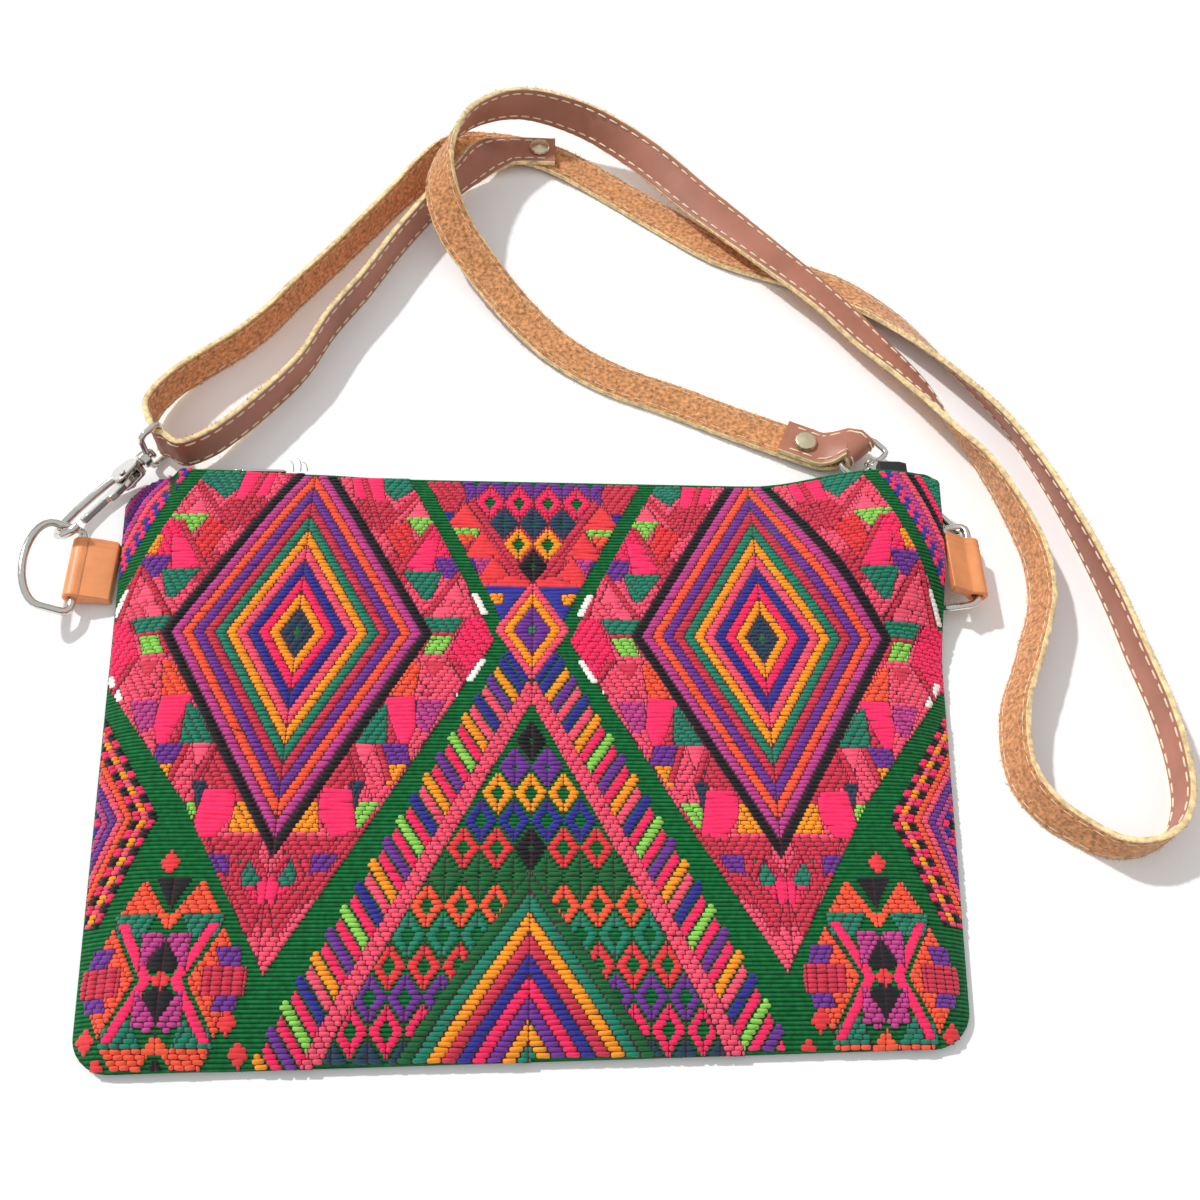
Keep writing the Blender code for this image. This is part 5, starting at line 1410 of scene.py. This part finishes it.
@dataclass(frozen=True)
class StrapRoute:
    """The strap's way in the photo: x, y and z in millimetres, and its lean in degrees.

    The lean is 0 with the smooth side up, 90 on edge with that side to the left, and 180 with it down.
    """

    left_eye_mm: Spot = (-138.515, 114.3, 10.9)
    eye_bar_mm: float = 12.2
    fold_mm: float = 2.7
    left_origin_mm: Spot = (-145.275, 105.302, 8.628)
    left_heading: Point = (-0.600679, -0.799491)
    right_origin_mm: Spot = (131.303, 109.638, 6.671)
    right_heading: Point = (0.669131, -0.743145)
    inward: tuple[Station, ...] = (
        (7, 278, 5.2, 0), (-5, 278, 5.2, 0), (-14, 277, 5.6, 5), (-23, 271, 7.4, 35), (-33, 259, 8.2, 72),
        (-45, 242, 7.8, 86), (-58, 220, 7.8, 88), (-70, 196, 7.8, 88), (-82, 175, 7.8, 88),
        (-92, 152, 7.8, 90), (-103, 136, 7.9, 90), (-114, 122, 8.6, 90), (-123, 112.5, 10.0, 90),
        (-131, 108.5, 10.8, 90),
    )
    outward: tuple[Station, ...] = (
        (-145, 127, 10.2, 90), (-139, 141, 8.8, 90), (-129, 152, 7.9, 92), (-117, 163, 7.8, 92),
        (-106, 176, 7.8, 92), (-97, 190, 7.8, 92), (-85, 207, 7.8, 92), (-73, 225, 7.8, 93),
        (-60, 245, 7.7, 96), (-48, 262, 7.7, 112), (-36, 275, 6.1, 140), (-22, 281, 3.4, 168),
        (-5, 280, 2.7, 180), (8, 275, 2.6, 180), (27, 263, 1.6, 180), (53, 243, 1.6, 180),
        (78, 225, 1.6, 182), (103, 215, 1.7, 184), (126, 205, 2.5, 190), (146, 188, 4.6, 206),
        (166, 163, 6.6, 232), (184, 137, 7.4, 247), (195, 113, 7.8, 256), (205, 83, 7.8, 263),
        (212, 55, 7.8, 268), (216, 32, 7.8, 270), (220, 10, 7.8, 270), (221, -10, 7.8, 270),
        (219, -24, 7.8, 270), (213, -34, 7.8, 268), (203, -39, 7.8, 266), (192, -39, 7.8, 264),
        (182, -34, 7.7, 260), (172, -26, 7.6, 256), (166, -16, 7.6, 254), (165, -3, 7.5, 252),
        (168, 13, 7.5, 250), (174, 26, 7.5, 250), (180, 40, 7.5, 250), (185, 54, 7.6, 253),
        (186, 72, 7.7, 258), (182, 90, 7.8, 264), (174, 112, 7.8, 276), (164, 130, 7.6, 300),
        (152, 152, 7.2, 328), (135, 174, 7.2, 345), (118, 195, 8.4, 350), (94, 220, 9.2, 362),
        (69, 245, 10.4, 380), (44, 270, 13.0, 402), (18, 286, 16.8, 425), (-9, 290, 20.5, 444),
        (-29, 278, 23.2, 462), (-39, 259, 24.0, 480), (-41, 240, 22.6, 500), (-35, 221, 15.6, 520),
        (-22, 203, 8.8, 532), (-7, 184, 4.8, 538), (9, 168, 2.6, 540), (29, 155, 1.7, 540),
        (53, 145, 1.6, 540), (76, 134.5, 2.1, 540), (92, 127.5, 2.7, 540), (104, 122.6, 2.7, 540),
        (112, 119.9, 3.0, 540),
    )
    back: tuple[Station, ...] = ((111, 120.1, 5.6, 360), (104, 122.8, 5.3, 360), (96, 126.2, 5.2, 360))

    def controls(self) -> list[tuple[Vector, Vector]]:
        """Return the control points.

        Returns:
            Each point in metres, with the direction across the strap there.
        """
        points = [(Vector(p[:3]), p[3], None) for p in self.inward]
        bar = Vector(self.left_origin_mm) - Vector((*self.left_heading, 0.0)) * self.eye_bar_mm
        apex = math.atan2(self.left_heading[1], self.left_heading[0])
        for turn in (55, 20, -20, -55):
            angle = apex + math.radians(turn)
            spot = Vector((bar.x, bar.y, self.left_eye_mm[2]))
            spot += Vector((math.cos(angle), math.sin(angle), 0.0)) * self.fold_mm
            points.append((spot, 90, angle - math.radians(90)))
        points += [(Vector(p[:3]), p[3], None) for p in self.outward]
        heading = Vector((*self.right_heading, 0.0))
        bar = Vector(self.right_origin_mm) - heading * self.eye_bar_mm
        course = math.atan2(heading.y, heading.x)
        turns = (-90, -90, -45, 0, 45, 90, 90)
        for k, turn in enumerate(turns):
            angle = math.radians(turn)
            spot = bar + self.fold_mm * (heading * math.cos(angle) + Vector((0.0, 0.0, math.sin(angle))))
            if k in (0, len(turns) - 1):
                spot -= 3.0 * heading
            points.append((spot, 540, course))
        points += [(Vector(p[:3]), p[3], None) for p in self.back]
        result = []
        for i, (spot, lean, course) in enumerate(points):
            if course is None:
                ahead = points[min(i + 1, len(points) - 1)][0] - points[max(i - 1, 0)][0]
                course = math.atan2(ahead.y, ahead.x)
            left = Vector((-math.sin(course), math.cos(course), 0.0))
            angle = math.radians(lean)
            result.append((spot * MM, left * math.cos(angle) - Vector((0.0, 0.0, 1.0)) * math.sin(angle)))
        return result

    def stations(self, step: float) -> tuple[np.ndarray, np.ndarray, np.ndarray, np.ndarray]:
        """Return points along the strap with their directions.

        Args:
            step: the distance between points, in metres.

        Returns:
            Points, directions along it, across it, and out of its smooth side.
        """
        controls = self.controls()
        spots = [c[0] for c in controls]
        spots = [2 * spots[0] - spots[1]] + spots + [2 * spots[-1] - spots[-2]]
        line, sides = [], []
        for i in range(len(controls) - 1):
            p0, p1, p2, p3 = spots[i:i + 4]
            t1 = (p1 - p0).length ** 0.5
            t2 = t1 + (p2 - p1).length ** 0.5
            t3 = t2 + (p3 - p2).length ** 0.5
            parts = 12
            for k in range(parts):
                t = t1 + (t2 - t1) * k / parts
                a1 = p0.lerp(p1, t / t1)
                a2 = p1.lerp(p2, (t - t1) / (t2 - t1))
                a3 = p2.lerp(p3, (t - t2) / (t3 - t2))
                b1 = a1.lerp(a2, t / t2)
                b2 = a2.lerp(a3, (t - t1) / (t3 - t1))
                line.append(b1.lerp(b2, (t - t1) / (t2 - t1)))
                sides.append(controls[i][1].lerp(controls[i + 1][1], k / parts))
        line.append(controls[-1][0])
        sides.append(controls[-1][1])
        fine = np.array([tuple(p) for p in line])
        wide = np.array([tuple(s) for s in sides])
        gone = np.concatenate(([0.0], np.cumsum(np.linalg.norm(np.diff(fine, axis=0), axis=1))))
        marks = np.linspace(0.0, gone[-1], int(round(gone[-1] / step)) + 1)
        points = np.stack([np.interp(marks, gone, fine[:, k]) for k in range(3)], -1)
        across = np.stack([np.interp(marks, gone, wide[:, k]) for k in range(3)], -1)
        ahead = np.gradient(points, axis=0)
        ahead /= np.linalg.norm(ahead, axis=1, keepdims=True)
        across -= ahead * np.sum(ahead * across, axis=1, keepdims=True)
        across /= np.linalg.norm(across, axis=1, keepdims=True)
        return points, ahead, across, np.cross(ahead, across)


@dataclass
class Strap:
    """The leather strap: a smooth brown face, a suede back, cream cut edges and two rows of stitches."""

    route: StrapRoute = StrapRoute()
    width: float = 15.0 * MM
    thick: float = 2.2 * MM
    step: float = 2.0 * MM
    stitch: float = 4.0 * MM
    stitch_gap: float = 1.6 * MM
    stitch_inset: float = 2.1 * MM
    groove: float = 0.18 * MM
    rough_edge: float = 0.09 * MM
    seed: int = 11
    fibres: int = 12500
    finishes: tuple[Finish, ...] = (
        Finish("strap_leather", "B0725C", 0.46, tone=0.16, tone_scale=60.0, bump=0.12 * MM,
               bump_scale=1400.0),
        Finish("strap_suede", "CF9160", 0.95, sheen=0.3, specular=0.1, tone=0.6, tone_scale=650.0,
               bump=0.9 * MM, bump_scale=1100.0),
        Finish("strap_edge", "EFD6A2", 0.9, sheen=0.2, specular=0.1, tone=0.4, tone_scale=420.0,
               bump=0.2 * MM, bump_scale=2500.0),
    )

    def build(self) -> list[bpy.types.Object]:
        """Make the ribbon, its stitches and its loose fibres.

        Returns:
            The pieces, the ribbon first.
        """
        points, ahead, across, normal = self.route.stations(self.step)
        half, edge = 0.5 * self.width, 0.5 * self.thick
        row = half - self.stitch_inset
        bevel, cut = 0.35 * MM, 0.3 * MM
        groove = [(-0.5 * MM, 0.0), (0.0, -self.groove), (0.5 * MM, 0.0)]
        section = [(bevel - half, edge)]
        section += [(w - row, edge + n) for w, n in groove]
        section += [(0.0, edge)]
        section += [(row + w, edge + n) for w, n in groove]
        section += [(half - bevel, edge), (half, edge - cut), (half, 0.0), (half, cut - edge)]
        section += [(half - bevel, -edge), (0.4 * half, -edge), (-0.4 * half, -edge), (bevel - half, -edge)]
        section += [(-half, cut - edge), (-half, 0.0), (-half, edge - cut)]
        rng = np.random.default_rng(self.seed)
        count, sides = len(points), len(section)
        verts = np.zeros((count, sides, 3))
        for k, (w, n) in enumerate(section):
            rough = self.rough_edge if k >= 9 else 0.0
            jitter = rng.standard_normal((count, 2)) * rough
            sideways = w + jitter[:, :1] * (abs(w) > 0.9 * half)
            verts[:, k] = points + across * sideways + normal * (n + 0.5 * jitter[:, 1:])
        faces = grid_faces(count, sides, closed=True)
        ribbon = mesh_object("strap_ribbon", verts.reshape(-1, 3), faces)
        caps = [list(range(sides))[::-1], list((count - 1) * sides + np.arange(sides))]
        self.add_caps(ribbon, caps)
        for finish in self.finishes:
            ribbon.data.materials.append(finish.build())
        slots = np.array([0] * 8 + [2] * 4 + [1] * 3 + [2] * 4, dtype=np.int32)
        kinds = np.concatenate([np.tile(slots, count - 1), [2, 2]]).astype(np.int32)
        ribbon.data.polygons.foreach_set("material_index", kinds)
        ribbon.data.set_sharp_from_angle(angle=math.radians(50))
        stitches = self.build_stitches(row, edge)
        fuzz = self.build_fuzz(points, ahead, across, normal)
        return [ribbon, stitches, fuzz]

    @staticmethod
    def add_caps(ribbon: bpy.types.Object, caps: list[list[int]]) -> None:
        """Close the ribbon's two ends.

        Args:
            ribbon: the strap.
            caps: the indices round each end.
        """
        mesh = ribbon.data
        verts = [tuple(v.co) for v in mesh.vertices]
        faces = [tuple(p.vertices) for p in mesh.polygons] + [tuple(int(i) for i in cap) for cap in caps]
        mesh.clear_geometry()
        mesh.from_pydata(verts, [], faces)
        mesh.shade_smooth()

    def build_stitches(self, row: float, edge: float) -> bpy.types.Object:
        """Make the stitches as short rounded threads in the two grooves.

        Args:
            row: the grooves' distance from the strap's middle.
            edge: half the strap's thickness.

        Returns:
            The stitches.
        """
        points, _, across, normal = self.route.stations(0.5 * MM)
        per = int(round(self.stitch / (0.5 * MM)))
        pitch = int(round((self.stitch + self.stitch_gap) / (0.5 * MM)))
        verts, faces, start = [], [], 0
        for side in (-1.0, 1.0):
            for face, radius in ((1.0, 0.36 * MM), (-1.0, 0.15 * MM)):
                for first in range(8, len(points) - per - 8, pitch):
                    picks = first + np.array([0, 1, per // 2, per - 1, per])
                    swell = np.array([0.15, 0.9, 1.0, 0.9, 0.15])
                    height = face * (edge - 0.05 * MM + 0.12 * MM * swell)
                    middle = points[picks] + across[picks] * (side * row) + normal[picks] * height[:, None]
                    ring = []
                    for k in range(6):
                        angle = 2.0 * math.pi * k / 6
                        out = across[picks] * math.cos(angle) + normal[picks] * math.sin(angle)
                        ring.append(middle + out * (radius * swell)[:, None])
                    verts.append(np.stack(ring, 1).reshape(-1, 3))
                    faces.append(grid_faces(5, 6, start, closed=True))
                    start += 30
        threads = mesh_object("strap_stitches", np.concatenate(verts), np.concatenate(faces))
        threads.data.materials.append(Finish("thread", "F3E4C6", 0.7, tone=0.08).build())
        return threads

    def build_fuzz(self, points: np.ndarray, ahead: np.ndarray, across: np.ndarray,
                   normal: np.ndarray) -> bpy.types.Object:
        """Make the fine fibres that stand off the suede side and its edges.

        Args:
            points: points along the strap.
            ahead: directions along it.
            across: directions across it.
            normal: directions out of its smooth side.

        Returns:
            The fibres.
        """
        rng = np.random.default_rng(self.seed + 1)
        count = self.fibres
        picks = rng.integers(2, len(points) - 2, count)
        side = rng.choice((-1.0, 1.0), count)
        place = side * 0.5 * self.width * np.where(rng.random(count) < 0.3, 1.0, rng.random(count))
        on_edge = np.abs(place) > 0.49 * self.width
        level = -0.5 * self.thick * np.where(on_edge, 0.4 + 0.6 * rng.random(count), 1.0)
        root = points[picks] + across[picks] * place[:, None] + normal[picks] * level[:, None]
        reach = (0.4 + 0.9 * rng.random(count)) * MM
        way = across[picks] * side[:, None] * rng.random(count)[:, None]
        way -= normal[picks] * 0.6 * rng.random(count)[:, None]
        way += ahead[picks] * rng.uniform(-1.0, 1.0, count)[:, None]
        way /= np.linalg.norm(way, axis=1, keepdims=True)
        bend = rng.standard_normal((count, 3)) * 0.35
        tip = root + (way + bend) * reach[:, None]
        middle = root + way * (0.5 * reach[:, None])
        offset = np.cross(way, rng.standard_normal((count, 3)))
        offset *= (0.09 * MM) / np.linalg.norm(offset, axis=1, keepdims=True)
        low = 0.05 * MM
        for part in (middle, tip):
            part[:, 2] = np.maximum(part[:, 2], low)
        verts = np.stack([root - offset, root + offset, middle + 0.8 * offset, middle - 0.8 * offset,
                          tip + 0.3 * offset, tip - 0.3 * offset], 1).reshape(-1, 3)
        base = (6 * np.arange(count))[:, None]
        faces = np.concatenate([base + np.array([0, 1, 2, 3]), base + np.array([3, 2, 4, 5])])
        fuzz = mesh_object("strap_fuzz", verts, faces)
        fuzz.data.materials.append(Finish("suede_fibre", "E3B07A", 0.9, tone=0.6, tone_scale=500.0).build())
        return fuzz


@dataclass(frozen=True)
class LooseThreads:
    """The short dark yarn ends that stick out of the brocade, as places in millimetres with a heading."""

    ends: tuple[Station, ...] = (
        (-89.5, 102.0, 88.0, 4.6), (-87.0, 102.2, 82.0, 5.4), (-84.5, 102.3, 96.0, 4.0),
        (-97.5, -1.0, -60.0, 3.4), (-96.5, -2.4, 160.0, 3.0), (-90.5, 54.5, -75.0, 3.2),
        (-92.0, 41.0, -80.0, 2.6), (-91.0, 40.0, 20.0, 2.4), (118.0, -62.0, 200.0, 3.0),
        (64.0, 61.0, 250.0, 2.6), (-131.0, -60.0, 120.0, 2.6),
    )
    radius: float = 0.16 * MM
    form: PouchForm = FORM

    def build(self) -> bpy.types.Object:
        """Make the yarn ends as thin bent threads.

        Returns:
            The piece.
        """
        verts, faces, start = [], [], 0
        for x, y, heading, length in self.ends:
            turn = math.radians(heading)
            ring = []
            for k in range(6):
                share = k / 5.0
                bend = turn + 0.5 * share * share
                px = x + length * share * math.cos(bend)
                py = y + length * share * math.sin(bend)
                level = min(py * MM, self.form.top_y - 0.2 * MM)
                ground = float(self.form.height(np.array(px * MM), np.array(level)))
                pz = ground / MM + 0.5 + 1.6 * math.sin(math.pi * 0.8 * share)
                thin = self.radius / MM * (1.0 - 0.5 * share)
                for j in range(5):
                    angle = 2.0 * math.pi * j / 5
                    ring.append((px - thin * math.sin(bend) * math.cos(angle),
                                 py + thin * math.cos(bend) * math.cos(angle),
                                 pz + thin * math.sin(angle)))
            verts.append(np.array(ring) * MM)
            faces.append(grid_faces(6, 5, start, closed=True))
            start += 30
        threads = mesh_object("loose_yarn_ends", np.concatenate(verts), np.concatenate(faces))
        threads.data.materials.append(Finish("dark_yarn", "231C22", 0.85, tone=0.2).build())
        return threads


def record_size(name: str, sizes: dict[str, list[list[float]]]) -> None:
    """Keep the shown object's lowest and highest corner.

    Args:
        name: when it was measured.
        sizes: where it is kept.
    """
    low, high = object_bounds()
    sizes[name] = [[float(v) for v in low], [float(v) for v in high]]


@dataclass(frozen=True)
class Hardware:
    """The hard pieces, the tabs, the zip and the lining, made again with fine surfaces.

    Each metal node stands with its body and the fineness of its surface in millimetres.
    """

    metal: tuple[tuple[str, str, float], ...] = (
        ("left_ring", "left_ring", 0.32), ("right_ring", "right_ring", 0.32),
        ("left_hook", "left_hook", 0.27), ("right_hook", "right_hook", 0.27),
        ("left_gate", "left_gate", 0.21), ("right_gate", "right_gate", 0.21),
        ("left_gate_pin", "left_hook", 0.18), ("right_gate_pin", "right_hook", 0.18),
        ("left_gate_spring", "left_hook", 0.1), ("right_gate_spring", "right_hook", 0.1),
        ("left_eye", "root", 0.27), ("right_eye", "root", 0.27),
        ("zip_slider", "slider", 0.15), ("zip_pull", "pull", 0.18),
    )
    rivet_voxel: float = 0.25 * MM
    tab_voxel: float = 0.42 * MM
    zip_end_voxel: float = 0.3 * MM
    tab_creases_mm: Point = (1.5, 3.6)
    lining_ripple: float = 0.2 * MM
    nickel: Finish = Finish("nickel", "DAD8D2", 0.17, metallic=1.0, tone=0.05, tone_scale=90.0,
                            bump=0.02 * MM, bump_scale=700.0)
    rivet_cap: Finish = Finish("rivet_cap", "E8D9B8", 0.3, metallic=1.0, tone=0.06, tone_scale=120.0,
                               bump=0.02 * MM, bump_scale=900.0)
    tan: Finish = Finish("tan_leather", "EE9A62", 0.42, tone=0.14, tone_scale=110.0, bump=0.07 * MM,
                         bump_scale=1500.0)
    tape: Finish = Finish("zip_black", "18181C", 0.6, sheen=0.1, tone=0.15, bump=0.08 * MM, bump_scale=1800.0)
    cloth: Finish = Finish("lining_cloth", "26262B", 0.9, tone=0.15, bump=0.06 * MM, bump_scale=2400.0)

    def build(self) -> None:
        """Make every piece in place of its node and dress it."""
        nickel = self.nickel.build()
        rivet = self.rivet_cap.build()
        tan = self.tan.build()
        tape = self.tape.build()
        cloth = self.cloth.build()
        for node, body, voxel_mm in self.metal:
            Refined(node, body, "nickel", voxel_mm * MM).build(nickel)
        for side in ("left", "right"):
            Refined(side + "_rivet", "root", "nickel", self.rivet_voxel, 4).build(rivet)
            tab = Refined(side + "_tab", "root", "tan", self.tab_voxel, 6, creases_mm=self.tab_creases_mm)
            tab.build(tan)
        Refined("zip_end_tab", "root", "zip", self.zip_end_voxel, 6).build(tape)
        for upper in (False, True):
            half = ZipHalf(upper).build(tape)
            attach(half, "root")
            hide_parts("zip_half_front" if upper else "zip_half_back")
        bag = Refined("lining", "root", "lining", 0.0, 2, self.lining_ripple).build(cloth)


def main() -> None:
    """Build every piece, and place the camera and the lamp."""
    logging.basicConfig(level=logging.INFO, format="%(message)s")
    sizes: dict[str, list[list[float]]] = {}
    record_size("frame", sizes)
    Studio().build()

    cloth = GroundCloth().build()
    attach(cloth, "root")
    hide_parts("front_panel")
    LOG.info("front cloth: %d faces", len(cloth.data.polygons))
    for piece in Brocade().build():
        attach(piece, "root")
        LOG.info("%s: %d faces", piece.name, len(piece.data.polygons))

    strap = Strap()
    ribbon, stitches, fuzz = strap.build()
    for piece in (ribbon, stitches, fuzz):
        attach(piece, "root")
        LOG.info("%s: %d faces", piece.name, len(piece.data.polygons))
    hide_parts("strap")
    points = strap.route.stations(4.0 * MM)[0]
    length = float(np.linalg.norm(np.diff(points, axis=0), axis=1).sum())
    LOG.info("strap length %.3f m", length)

    back = BackCloth().build()
    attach(back, "root")
    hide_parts("back_panel")
    ends = LooseThreads().build()
    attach(ends, "root")
    Hardware().build()

    record_size("finish", sizes)


if __name__ == "__main__":
    main()
